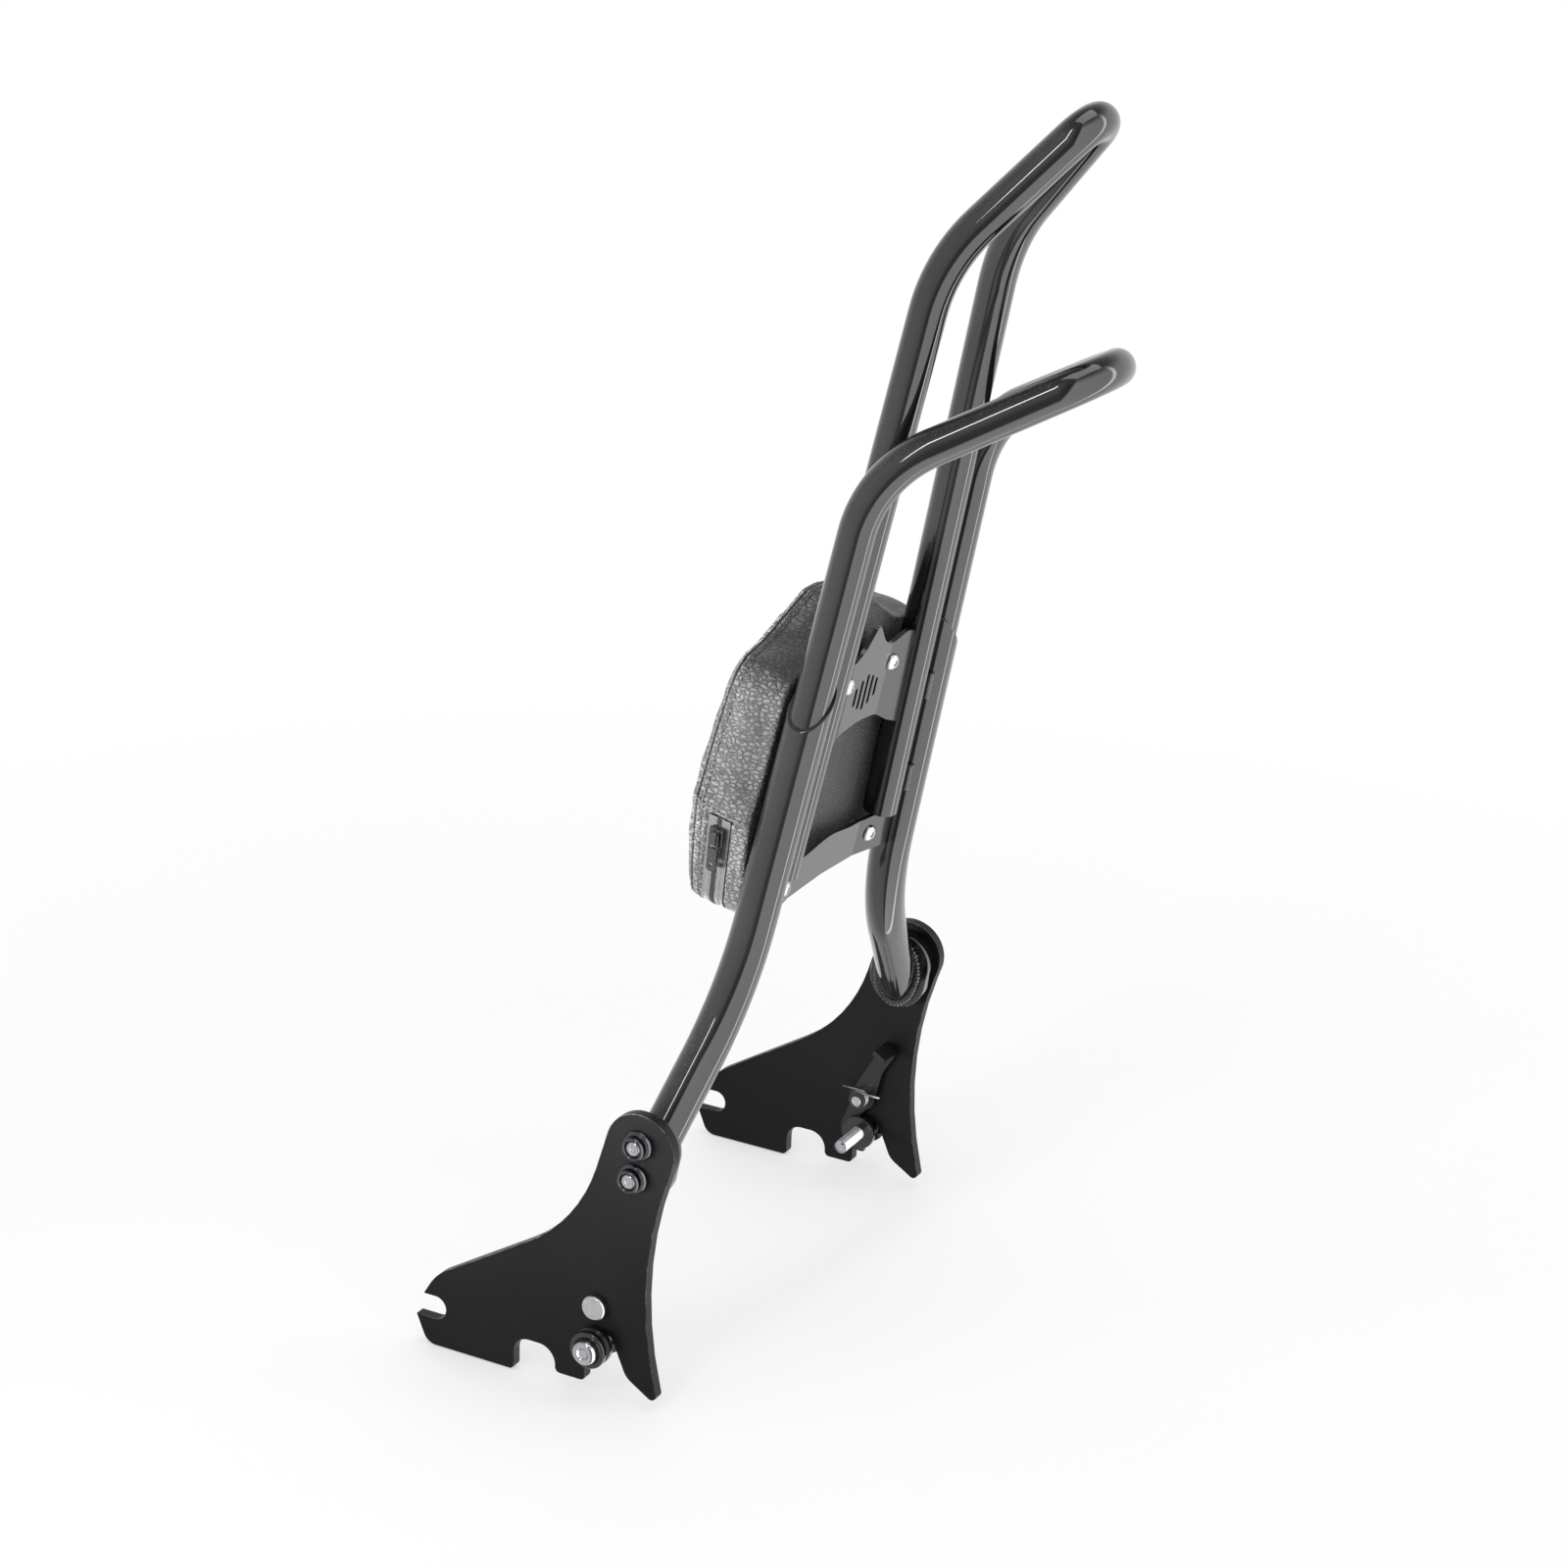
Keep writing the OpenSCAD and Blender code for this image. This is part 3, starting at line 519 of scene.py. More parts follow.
def cut_tube(name, points, radius, bore, cuts, look, node, sides=72):
    """A bent tube cut by planes, with its cut rims closed and eased."""
    work = bmesh.new()
    for size in (radius, bore):
        rings = rings_along(points, size, sides)
        made = [work.verts.new(v) for ring in rings for v in ring]
        for face in skin(len(rings), sides):
            work.faces.new([made[i] for i in face])
    for place, way in cuts:
        bmesh.ops.bisect_plane(work, geom=work.verts[:] + work.edges[:] + work.faces[:],
                               plane_co=place, plane_no=way, clear_outer=True, dist=1e-7)
        rim = [e for e in work.edges if e.is_boundary
               and all(abs((v.co - place).dot(way)) < 2e-6 for v in e.verts)]
        bmesh.ops.bridge_loops(work, edges=rim)
        bmesh.ops.bevel(work, geom=rim, offset=0.0006, segments=4, affect="EDGES",
                        profile=0.5)
    bmesh.ops.recalc_face_normals(work, faces=work.faces)
    mesh = bpy.data.meshes.new(name)
    work.to_mesh(mesh)
    work.free()
    return even_shading(shown(name, mesh, look, instead_of=(node,)))


def softened(profile, radius):
    """A turned profile with each corner rounded by a small arc."""
    out = [profile[0]]
    for a, b, c in zip(profile, profile[1:], profile[2:]):
        pa, pb, pc = (Vector((*p[:2], 0)) for p in (a, b, c))
        to_a, to_c = pa - pb, pc - pb
        reach = min(radius, to_a.length * 0.45, to_c.length * 0.45)
        start, end = pb + to_a.normalized() * reach, pb + to_c.normalized() * reach
        for t in (0.0, 0.33, 0.67, 1.0):
            p = (1 - t) ** 2 * start + 2 * t * (1 - t) * pb + t * t * end
            out.append((p.x, p.y, *b[2:]))
    return out + [profile[-1]]


def turned(profile, centre, sectors=96):
    """Vertices and faces of a profile of (outward x, radius) turned about a sideways axis."""
    vertices = []
    for row in profile:
        for k in range(sectors):
            angle = 2 * math.pi * k / sectors
            r = row[1]
            if len(row) > 2:
                sixth = math.pi / 3
                r /= math.cos((angle % sixth) - sixth / 2)
            vertices.append(Vector((row[0], centre[0] + r * math.cos(angle),
                                    centre[1] + r * math.sin(angle))) / 1000)
    return vertices, capped(len(profile), sectors)


def joined(parts):
    vertices, faces = [], []
    for part_vertices, part_faces in parts:
        start = len(vertices)
        vertices += part_vertices
        faces += [tuple(start + i for i in face) for face in part_faces]
    return vertices, faces


def sided(parts, right):
    vertices, faces = parts
    return ([v if right else Vector((-v.x, v.y, v.z)) for v in vertices], faces)


def lathed(name, parts, right, look, node):
    """One piece from turned parts, on the right side or mirrored to the left."""
    mesh = mesh_of(name, *sided(joined(parts), right))
    even_shading(shown(name, mesh, look, instead_of=(node,)))


def repeat_group():
    """Sets copies of one small piece at even steps along a line."""
    e = Nodes(bpy.data.node_groups.new("repeat along a line", "GeometryNodeTree"))
    names = {}
    for socket, kind in (("Line", "Geometry"), ("Small piece", "Object"), ("Step", "Float"),
                         ("Across", "Vector"), ("Uneven", "Float"), ("Turn", "Vector"),
                         ("Seed", "Int"), ("Look", "Material")):
        names[socket] = e.tree.interface.new_socket(
            name=socket, in_out="INPUT", socket_type="NodeSocket" + kind).identifier
    e.tree.interface.new_socket(name="Geometry", in_out="OUTPUT",
                                socket_type="NodeSocketGeometry")
    taken, given = e.add("NodeGroupInput").outputs, e.add("NodeGroupOutput").inputs
    line = e.add("GeometryNodeMeshToCurve", {"Mesh": taken["Line"]})
    even = e.add("GeometryNodeResampleCurve", {"Curve": line.outputs["Curve"],
                                               "Length": taken["Step"]}, mode="LENGTH")
    small = e.add("GeometryNodeObjectInfo", {"Object": taken["Small piece"]})
    tangent = e.add("GeometryNodeInputTangent").outputs["Tangent"]
    first = e.add("FunctionNodeAlignRotationToVector", {"Vector": tangent}, axis="Z")
    second = e.add("FunctionNodeAlignRotationToVector", {
        "Rotation": first.outputs["Rotation"], "Vector": taken["Across"]},
        axis="Y", pivot_axis="Z")
    lower = e.add("ShaderNodeVectorMath", {0: taken["Turn"], "Scale": -1.0},
                  operation="SCALE")
    chance = e.add("FunctionNodeRandomValue", {
        "Min": lower.outputs[0], "Max": taken["Turn"], "Seed": taken["Seed"]},
        data_type="FLOAT_VECTOR")
    round_off = e.add("FunctionNodeEulerToRotation", {"Euler": chance.outputs["Value"]})
    turn = e.add("FunctionNodeRotateRotation", {
        "Rotation": second.outputs["Rotation"], "Rotate By": round_off.outputs["Rotation"]},
        rotation_space="LOCAL")
    size = e.add("FunctionNodeRandomValue", {"Seed": taken["Seed"]}, data_type="FLOAT")
    limits = [s for s in size.inputs if s.enabled and s.name in ("Min", "Max")]
    for way, limit in zip(("SUBTRACT", "ADD"), limits):
        e.tree.links.new(e.number(way, 1.0, taken["Uneven"]), limit)
    place = e.add("GeometryNodeInstanceOnPoints", {
        "Points": even.outputs["Curve"], "Instance": small.outputs["Geometry"],
        "Rotation": turn.outputs["Rotation"],
        "Scale": [s for s in size.outputs if s.enabled][0]})
    real = e.add("GeometryNodeRealizeInstances", {"Geometry": place.outputs["Instances"]})
    paint = e.add("GeometryNodeSetMaterial", {"Geometry": real.outputs["Geometry"],
                                              "Material": taken["Look"]})
    e.tree.links.new(paint.outputs["Geometry"], given["Geometry"])
    return e.tree, names


REPEAT, REPEAT_NAMES = repeat_group()


def small_round(name, x, y, z, rings=8, sectors=12):
    """A small rounded grain with the given half sizes, in millimetres."""
    vertices = []
    for i in range(rings + 1):
        tilt = math.pi * (i + 0.02) / (rings + 0.04)
        for k in range(sectors):
            turn = 2 * math.pi * k / sectors
            vertices.append(Vector((x * math.sin(tilt) * math.cos(turn),
                                    y * math.sin(tilt) * math.sin(turn),
                                    z * math.cos(tilt))) / 1000)
    made = bpy.data.objects.new(name, mesh_of(name, vertices, capped(rings + 1, sectors)))
    scene.collection.objects.link(made)
    return made


def repeated(name, lines, small, step, look, across=(0, 0, 1), uneven=0.1,
             turn=(0.0, 0.0, 0.0), seed=3, body="frame", instead_of=(),
             loop=False):
    """Copies of a small piece along one or more lines, as one piece."""
    vertices, edges = [], []
    for line in lines:
        start = len(vertices)
        vertices += [tuple(p) for p in line]
        edges += [(start + i, start + i + 1) for i in range(len(line) - 1)]
        if loop:
            edges.append((len(vertices) - 1, start))
    mesh = bpy.data.meshes.new(name)
    mesh.from_pydata(vertices, edges, [])
    made = bpy.data.objects.new(name, mesh)
    scene.collection.objects.link(made)
    maker = made.modifiers.new("repeat", "NODES")
    maker.node_group = REPEAT
    for socket, value in (("Small piece", small), ("Step", step / 1000), ("Across", across),
                          ("Uneven", uneven), ("Turn", turn), ("Seed", seed),
                          ("Look", look)):
        maker[REPEAT_NAMES[socket]] = value
    return on_body(settle(made), body, instead_of)


# Camera, floor and light

def make_camera():
    az, el, roll = (math.radians(a) for a in (-61.95163, 20.28569, 1.74550))
    back = Vector((math.sin(az) * math.cos(el), -math.cos(az) * math.cos(el), math.sin(el)))
    right = (-back).cross(Vector((0, 0, 1))).normalized()
    up = right.cross(-back)
    x = right * math.cos(roll) + up * math.sin(roll)
    y = up * math.cos(roll) - right * math.sin(roll)
    data = bpy.data.cameras.new("camera")
    data.lens, data.sensor_width = 82.486, 36.0
    data.clip_start, data.clip_end = 0.05, 60.0
    made = bpy.data.objects.new("camera", data)
    made.matrix_world = Matrix(((x.x, y.x, back.x, -1.561081), (x.y, y.y, back.y, -0.850465),
                                (x.z, y.z, back.z, 0.918931), (0, 0, 0, 1)))
    scene.collection.objects.link(made)
    scene.camera = made
    return x, back


SCREEN_RIGHT, TO_CAMERA = make_camera()
FLAT_RIGHT = Vector((SCREEN_RIGHT.x, SCREEN_RIGHT.y, 0)).normalized()
FLAT_NEAR = Vector((TO_CAMERA.x, TO_CAMERA.y, 0)).normalized()


def make_floor():
    size, height = 8.0, -0.0308
    mesh = mesh_of("floor", [(-size, -size, height), (size, -size, height),
                             (size, size, height), (-size, size, height)], [(0, 1, 2, 3)])
    look = Look("pale floor", Roughness=0.7)
    cloud = look.add("ShaderNodeTexNoise", {"Vector": look.where(), "Scale": 2.0})
    tone = look.add("ShaderNodeMix", {"Factor": cloud.outputs["Fac"],
                                      "A": (0.86, 0.86, 0.86, 1),
                                      "B": (0.9, 0.9, 0.9, 1)}, data_type="RGBA")
    look.into(Base_Color=tone.outputs["Result"])
    away = look.add("ShaderNodeVectorMath", {0: look.where()}, operation="LENGTH")
    far = ramp(look, away.outputs["Value"], 0.4, 1.0, 0.5, 1.0)
    seen = look.number("MULTIPLY", far,
                       look.add("ShaderNodeLightPath").outputs["Is Camera Ray"])
    white = look.add("ShaderNodeEmission", {"Color": (1, 1, 1, 1), "Strength": 1.0})
    blend = look.add("ShaderNodeMixShader", {0: seen, 1: look.shader.outputs[0],
                                             2: white.outputs[0]})
    look.tree.links.new(blend.outputs[0],
                        look.tree.nodes["Material Output"].inputs["Surface"])
    mesh.materials.append(look.material)
    made = bpy.data.objects.new("floor", mesh)
    made.visible_glossy = False
    scene.collection.objects.link(made)


# Brightness of the soft boxes round the room: degrees to the right of the camera, level
ROOM = [(-150, 0.9), (-95, 0.6), (-60, 0.75), (-20, 0.65), (-9, 0.2), (5, 0.15), (11, 2.3),
        (50, 2.2), (83, 1.8), (86.5, 6.0), (90, 6.0), (93.5, 1.7), (135, 1.2), (165, 0.8)]


def make_world():
    world = bpy.data.worlds.new("studio")
    world.use_nodes = True
    e = Nodes(world.node_tree)
    e.tree.nodes.clear()
    place = e.add("ShaderNodeTexCoord").outputs["Generated"]

    def along(direction):
        return e.add("ShaderNodeVectorMath", {0: place, 1: direction},
                     operation="DOT_PRODUCT").outputs["Value"]

    turn = e.number("ARCTAN2", along(FLAT_RIGHT), along(FLAT_NEAR))
    share = e.number("ADD", e.number("DIVIDE", turn, 2 * math.pi), 0.5)
    boxes = e.add("ShaderNodeValToRGB", {"Fac": share})
    steps = boxes.color_ramp.elements
    steps[0].position, steps[1].position = 0.0, 1.0
    for element in steps:
        element.color = (0.26, 0.26, 0.26, 1)
    for degrees, level in ROOM:
        value = level / 4
        steps.new((degrees + 180) / 360).color = (value, value, value, 1)
    lift = e.add("ShaderNodeMapRange", {
        "Value": along((0, 0, 1)), "From Min": 0.45, "From Max": 0.9, "To Min": 0.0,
        "To Max": 1.0}, interpolation_type="SMOOTHSTEP")
    level = e.add("ShaderNodeMix", {
        "Factor": lift.outputs["Result"],
        "A": e.number("MULTIPLY", boxes.outputs["Color"], 4.0), "B": 0.35},
        data_type="FLOAT")
    path = e.add("ShaderNodeLightPath").outputs
    diffuse = e.add("ShaderNodeMix", {"Factor": path["Is Diffuse Ray"],
                                      "A": level.outputs["Result"], "B": 0.8},
                    data_type="FLOAT")
    room = e.add("ShaderNodeBackground", {"Strength": diffuse.outputs["Result"],
                                          "Color": (0.985, 0.99, 1.0, 1)})
    white = e.add("ShaderNodeBackground", {"Color": (1, 1, 1, 1)})
    mix = e.add("ShaderNodeMixShader", {0: path["Is Camera Ray"], 1: room.outputs[0],
                                        2: white.outputs[0]})
    e.add("ShaderNodeOutputWorld", {"Surface": mix.outputs[0]})
    scene.world = world


def soft_light(name, right, near, up, width, height, watts, aim=(0.0, 0.0, 0.3)):
    """A soft box placed by how far right, near and high it stands from the object."""
    data = bpy.data.lights.new(name, "AREA")
    data.shape, data.size, data.size_y, data.energy = "RECTANGLE", width, height, watts
    made = bpy.data.objects.new(name, data)
    place = FLAT_RIGHT * right + FLAT_NEAR * near + Vector((0, 0, up))
    made.location = place
    made.rotation_mode = "QUATERNION"
    made.rotation_quaternion = (place - Vector(aim)).to_track_quat("Z", "Y")
    scene.collection.objects.link(made)
    return made


make_floor()
make_world()
soft_light("top box", 0.3, 0.3, 2.6, 1.6, 1.6, 16)
soft_light("left strip", -0.9, 1.6, 1.6, 0.1, 1.2, 7)
key = soft_light("left box", -0.75, 0.35, 0.0, 0.5, 0.4, 24, aim=(-0.08, -0.03, 0.31))
key.data.spread = math.radians(56)
key.visible_glossy = key.visible_camera = False
scene.view_settings.view_transform = "Standard"


# Tubes

def hoop(side_x, foot, shoulder, shoulder_x, back, tip, radii, forward):
    corners = [upright(-side_x, forward, foot), upright(-shoulder_x, forward, shoulder),
               upright(0, forward - back, tip), upright(shoulder_x, forward, shoulder),
               upright(side_x, forward, foot)]
    return rounded_path(corners, [r / 1000 for r in radii])


HOOP, HOOP_BORE = 0.009525, 0.007925
open_tube("low_hoop_tube", hoop(leg_x(300), 300, 470, leg_x(470), 115.4, 568.5,
                                (65.5, 28, 65.5), 0),
          HOOP, HOOP_BORE, gloss, "low_hoop")
open_tube("tall_hoop_tube", hoop(inner_leg_x(244.6), 244.6, 573, inner_leg_x(573), 63.3,
                                 683, (90, 14, 90), 2.2),
          HOOP, HOOP_BORE, gloss, "tall_hoop")

for side, word in ((-1, "left"), (1, "right")):
    top = upright(side * leg_x(372), 0, 372)
    knee = upright(side * KNEE_X, 0, KNEE)
    foot = upright(side * 139, 0, 108.3)
    past = foot + (foot - knee).normalized() * 0.02
    mitre = math.radians(47)
    rim_way = turned_upright(side * math.sin(mitre), 0, math.cos(mitre))
    cut_tube(f"lower_tube_{word}_bent", rounded_path([top, knee, past], [0.133]), 0.0111,
             0.009675, [(upright(side * leg_x(348), 0, 348), rim_way),
                        (Vector((side * 0.13897, 0, 0)), Vector((side, 0, 0)))],
             gloss, f"lower_tube_{word}")

# Weld beads

bead = small_round("bead", 2.5, 2.1, 1.5)
for side, word in ((-1, "left"), (1, "right")):
    runs = [[upright(side * (leg_x(h + t) - 10.9), -5.6, h + t) for t in (1.5, 8, 14.5)]
            for h in (256, 312)]
    repeated(f"hoop_weld_{word}_beads", runs, bead, 1.5, gloss, uneven=0.07,
             turn=(0.12, 0.12, 0.3), seed=5 + side, instead_of=(f"hoop_weld_{word}",))
    ring = [upright(side * 137.8, 11.9 * math.cos(t), 109.9 + 18.9 * math.sin(t))
            for t in np.linspace(0, 2 * math.pi, 60, endpoint=False)]
    repeated(f"foot_weld_{word}_beads", [ring], bead, 2.1, gloss, across=(1, 0, 0),
             uneven=0.1, turn=(0.15, 0.15, 0.3), seed=11 + side,
             instead_of=(f"foot_weld_{word}",), loop=True)

# Plates, tabs, brackets and latches

for word in ("left", "right"):
    eased(f"side_plate_{word}_eased", f"side_plate_{word}", 0.55, satin,
          segments=3)
    eased(f"foot_tab_{word}_eased", f"foot_tab_{word}", 1.0, gloss, segments=3)
    eased(f"latch_{word}_eased", f"latch_{word}", 0.3, latch_black,
          body=f"latch_{word}")
eased("upper_bracket_eased", "upper_bracket", 0.35, bracket_black, segments=3)
eased("lower_bracket_eased", "lower_bracket", 0.35, bracket_black, segments=3)
eased("pad_inserts_eased", "pad_inserts", 0.2, zinc)
eased("latch_clips_eased", "latch_clips", 0.15, oxide)

# Foot bolts: flange, raised ring and a bright middle

for side, word in ((-1, "left"), (1, "right")):
    heads, middles = [], []
    for centre in ((-23.4, 119.6), (-20.8, 100.6)):
        head = [(139.4, 3.2), (139.4, 4.0), (153.03, 4.0), (153.03, 8.3), (154.0, 8.3),
                (155.2, 7.4), (155.2, 6.5), (158.6, 6.4), (159.4, 5.7), (159.4, 4.9),
                (157.6, 4.3), (157.6, 4.02)]
        heads.append(turned(softened(head, 0.35), centre))
        middle = [(156.9, 4.0), (158.3, 4.0), (158.8, 3.2), (158.9, 1.6), (158.2, 1.3),
                  (158.2, 0.1)]
        middles.append(turned(softened(middle, 0.3), centre))
    for name, parts, look in ((f"foot_bolts_{word}_heads", heads, black_chrome),
                              (f"foot_bolts_{word}_middles", middles, polished)):
        lathed(name, parts, side > 0, look, f"foot_bolts_{word}")

# Docking studs, latch pins and springs


def screw_thread(start, end, radius, pitch=1.25, sectors=40, steps=6):
    """A helical thread along the sideways axis at the origin."""
    depth = pitch * 0.45
    rows = int((end - start) / pitch * steps) + steps
    vertices, faces = [], []
    for i in range(rows):
        share = (i % steps) / steps
        r = radius - depth * abs(2 * share - 1) ** 1.3
        for k in range(sectors):
            x = start + ((i / steps) + k / sectors) * pitch - pitch
            x = min(max(x, start), end)
            angle = 2 * math.pi * k / sectors
            vertices.append(Vector((x, r * math.cos(angle), r * math.sin(angle))) / 1000)
    for i in range(rows - 1):
        for k in range(sectors - 1):
            faces.append((i * sectors + k, i * sectors + k + 1,
                          (i + 1) * sectors + k + 1, (i + 1) * sectors + k))
    for i in range(rows - steps - 1):
        a, b = i * sectors + sectors - 1, (i + 1) * sectors + sectors - 1
        faces.append((a, (i + steps) * sectors, (i + steps + 1) * sectors, b))
    return vertices, faces


for side, word in ((-1, "left"), (1, "right")):
    rings = [(140.2, 4.1), (140.2, 10.0), (143.2, 10.0), (143.2, 6.3), (153.3, 6.3),
             (153.3, 10.4), (156.9, 10.4), (156.9, 9.3), (159.1, 9.3), (159.1, 10.4),
             (161.6, 10.4), (162.3, 9.8), (162.3, 7.6), (161.4, 7.2), (161.4, 4.1)]
    lathed(f"dock_bush_{word}_rings", [turned(softened(rings, 0.5), (0, 0))], side > 0,
           gloss, f"dock_bush_{word}")
    head = [(139.9, 3.95), (161.45, 3.95), (161.45, 6.7), (164.6, 6.8), (165.9, 6.3),
            (166.6, 5.2), (166.9, 3.6), (166.3, 3.0), (165.6, 2.4), (165.5, 0.1)]
    parts = [turned(softened(head, 0.3), (0, 0)), screw_thread(118.2, 140.4, 4.0),
             turned([(118.3, 0.1), (118.3, 3.3), (119.0, 3.45)], (0, 0), 40)]
    lathed(f"dock_bolt_{word}_head", parts, side > 0, polished, f"dock_bolt_{word}")
    pin = [(135.7, 0.1), (135.7, 2.7), (136.0, 3.0), (136.6, 3.0), (136.6, 2.4),
           (137.7, 2.4), (137.7, 3.0), (153.3, 3.0), (153.3, 6.9), (156.3, 6.9),
           (157.0, 6.2), (157.1, 3.0), (157.16, 0.1)]
    lathed(f"latch_pin_{word}_spun", [turned(softened(pin, 0.22), (0, 22))], side > 0,
           bright, f"latch_pin_{word}")
    line = [(0, -14, 4.6)] + [
        (4.2 * i / 108, 4.6 * math.sin(math.radians(10 * i)),
         4.6 * math.cos(math.radians(10 * i))) for i in range(109)] + [(4.2, 12, 4.6)]
    wire = [Vector((side * (143.6 - 5.2 + x), y, 22 + z)) / 1000 for x, y, z in line]
    rings = rings_along(wire, 0.0006, 14)
    coil = [v for ring in rings for v in ring]
    shown(f"latch_spring_{word}_wire", mesh_of("spring", coil, capped(len(rings), 14)),
          spring_steel, instead_of=(f"latch_spring_{word}",))

# Pad bolts: button heads with a six-sided recess


def wing_place(bolt_x, bolt_height, fold, side):
    fold_turn = math.radians(8)
    middle = 3.2 + 2.5 / 2 - (bolt_x - fold) * math.tan(fold_turn)
    at = upright(side * bolt_x, middle, bolt_height)
    way = turned_upright(side * math.sin(fold_turn), math.cos(fold_turn), 0)
    return at, way


parts = []
for bolt_x, bolt_height, fold in ((24.5, 341.5, 21), (47.5, 232.5, 36)):
    for side in (-1, 1):
        at, way = wing_place(bolt_x, bolt_height, fold, side)
        dome = [(18.6, 0.1), (18.6, 2.2), (18.2, 2.5), (-1.28, 2.5), (-1.28, 4.7),
                (-1.75, 4.7), (-2.6, 4.3), (-3.4, 3.5), (-3.95, 2.4), (-3.98, 1.55, 6),
                (-2.6, 1.5, 6), (-2.2, 0.1)]
        vertices, faces = turned(softened(dome, 0.2), (0, 0), 72)
        spin = Vector((1, 0, 0)).rotation_difference(way)
        parts.append(([at + spin @ v for v in vertices], faces))
lathed("pad_bolts_heads", parts, True, polished, "pad_bolts")

# Pad

PAD_HALF = [(0, 215, 300), (70.5, 218, 12), (84, 279, 12), (79.5, 297, 40),
            (75.5, 354.5, 16), (42, 358, 45), (10, 375.8, 8)]
BACK, DEPTH, ZIP_FORWARD, ZIP_TOP = 12.2, 41.0, 29.2, 275.0


def outline_points(half, step):
    """The pad's rounded outline, run round from the bottom middle, at even steps."""
    corners = half + [(-x, y, r) for x, y, r in reversed(half) if x > 0]
    line = []
    for i, (x, y, r) in enumerate(corners):
        a = Vector(corners[i - 1][:2])
        b, c = Vector((x, y)), Vector(corners[(i + 1) % len(corners)][:2])
        u, v = (a - b).normalized(), (c - b).normalized()
        half_turn = u.angle(v) / 2
        start = b + u * (r / math.tan(half_turn))
        centre = b + (u + v).normalized() * (r / math.sin(half_turn))
        turn = math.pi - 2 * half_turn
        if (b - a).cross(c - b) < 0:
            turn = -turn
        spoke = start - centre
        for k in range(25):
            angle = turn * k / 24
            line.append(centre + Vector((
                spoke.x * math.cos(angle) - spoke.y * math.sin(angle),
                spoke.x * math.sin(angle) + spoke.y * math.cos(angle))))
    line = np.array([tuple(p) for p in line] + [tuple(line[0])])
    reach = np.concatenate([[0], np.cumsum(np.linalg.norm(np.diff(line, axis=0), axis=1))])
    count = int(reach[-1] / step)
    at = np.arange(count) * reach[-1] / count
    return np.stack([np.interp(at, reach, line[:, 0]), np.interp(at, reach, line[:, 1])], 1)


def outward_of(outline):
    ahead, behind = np.roll(outline, -3, axis=0), np.roll(outline, 3, axis=0)
    way = ahead - behind
    way /= np.linalg.norm(way, axis=1)[:, None]
    return np.stack([way[:, 1], -way[:, 0]], 1)


OUTLINE = outline_points(PAD_HALF, 1.25)
OUTWARD = outward_of(OUTLINE)
MIDDLE = np.array([0.0, 292.0])


def front_of(points):
    """How far forward the crowned front lies over each point."""
    return BACK + DEPTH - (points[:, 0] ** 2 + (points[:, 1] - 290) ** 2) / 1000


def cross_seam(forward):
    """Height of the seam across the side band, above the zip."""
    return 274.6 + 6.2 * np.clip((forward - 27) / 22, 0, 1) ** 1.5


def pad_rings():
    """Rings of points from the middle of the back round the band to the middle of the front,
    and what part of the pad each ring is."""
    rings, kinds = [], []
    edge_front = front_of(OUTLINE) - 1.2
    for share in (0.02, 0.1, 0.2, 0.3, 0.4, 0.5, 0.6, 0.7, 0.78, 0.85, 0.9, 0.94, 0.97):
        flat = MIDDLE + (OUTLINE - MIDDLE) * share
        rings.append((flat, np.full(len(flat), BACK + 0.1)))
        kinds.append("back")
    for inset, forward in ((1.9, 0.15), (1.0, 0.45), (0.35, 1.1), (0.05, 2.0)):
        rings.append((OUTLINE - OUTWARD * inset, np.full(len(OUTLINE), BACK + forward)))
        kinds.append("back edge")
    steps = 34
    for k in range(steps):
        t = (k + 1) / (steps + 1)
        low = BACK + 2.0
        high = edge_front - 2.2
        forward = low + (high - low) * t
        rings.append((OUTLINE, forward))
        kinds.append("band")
    for inset, back in ((0.05, 2.2), (0.15, 1.8), (0.7, 1.45), (1.5, 1.2), (0.8, 0.9),
                        (0.45, 0.45), (0.75, -0.2), (1.9, -0.75)):
        rings.append((OUTLINE - OUTWARD * inset, edge_front - back))
        kinds.append("front seam")
    for share in (0.965, 0.94, 0.9, 0.85, 0.78, 0.7, 0.6, 0.5, 0.4, 0.3, 0.2, 0.1, 0.02):
        flat = MIDDLE + (OUTLINE - MIDDLE) * share
        rings.append((flat, front_of(flat)))
        kinds.append("front")
    return rings, kinds


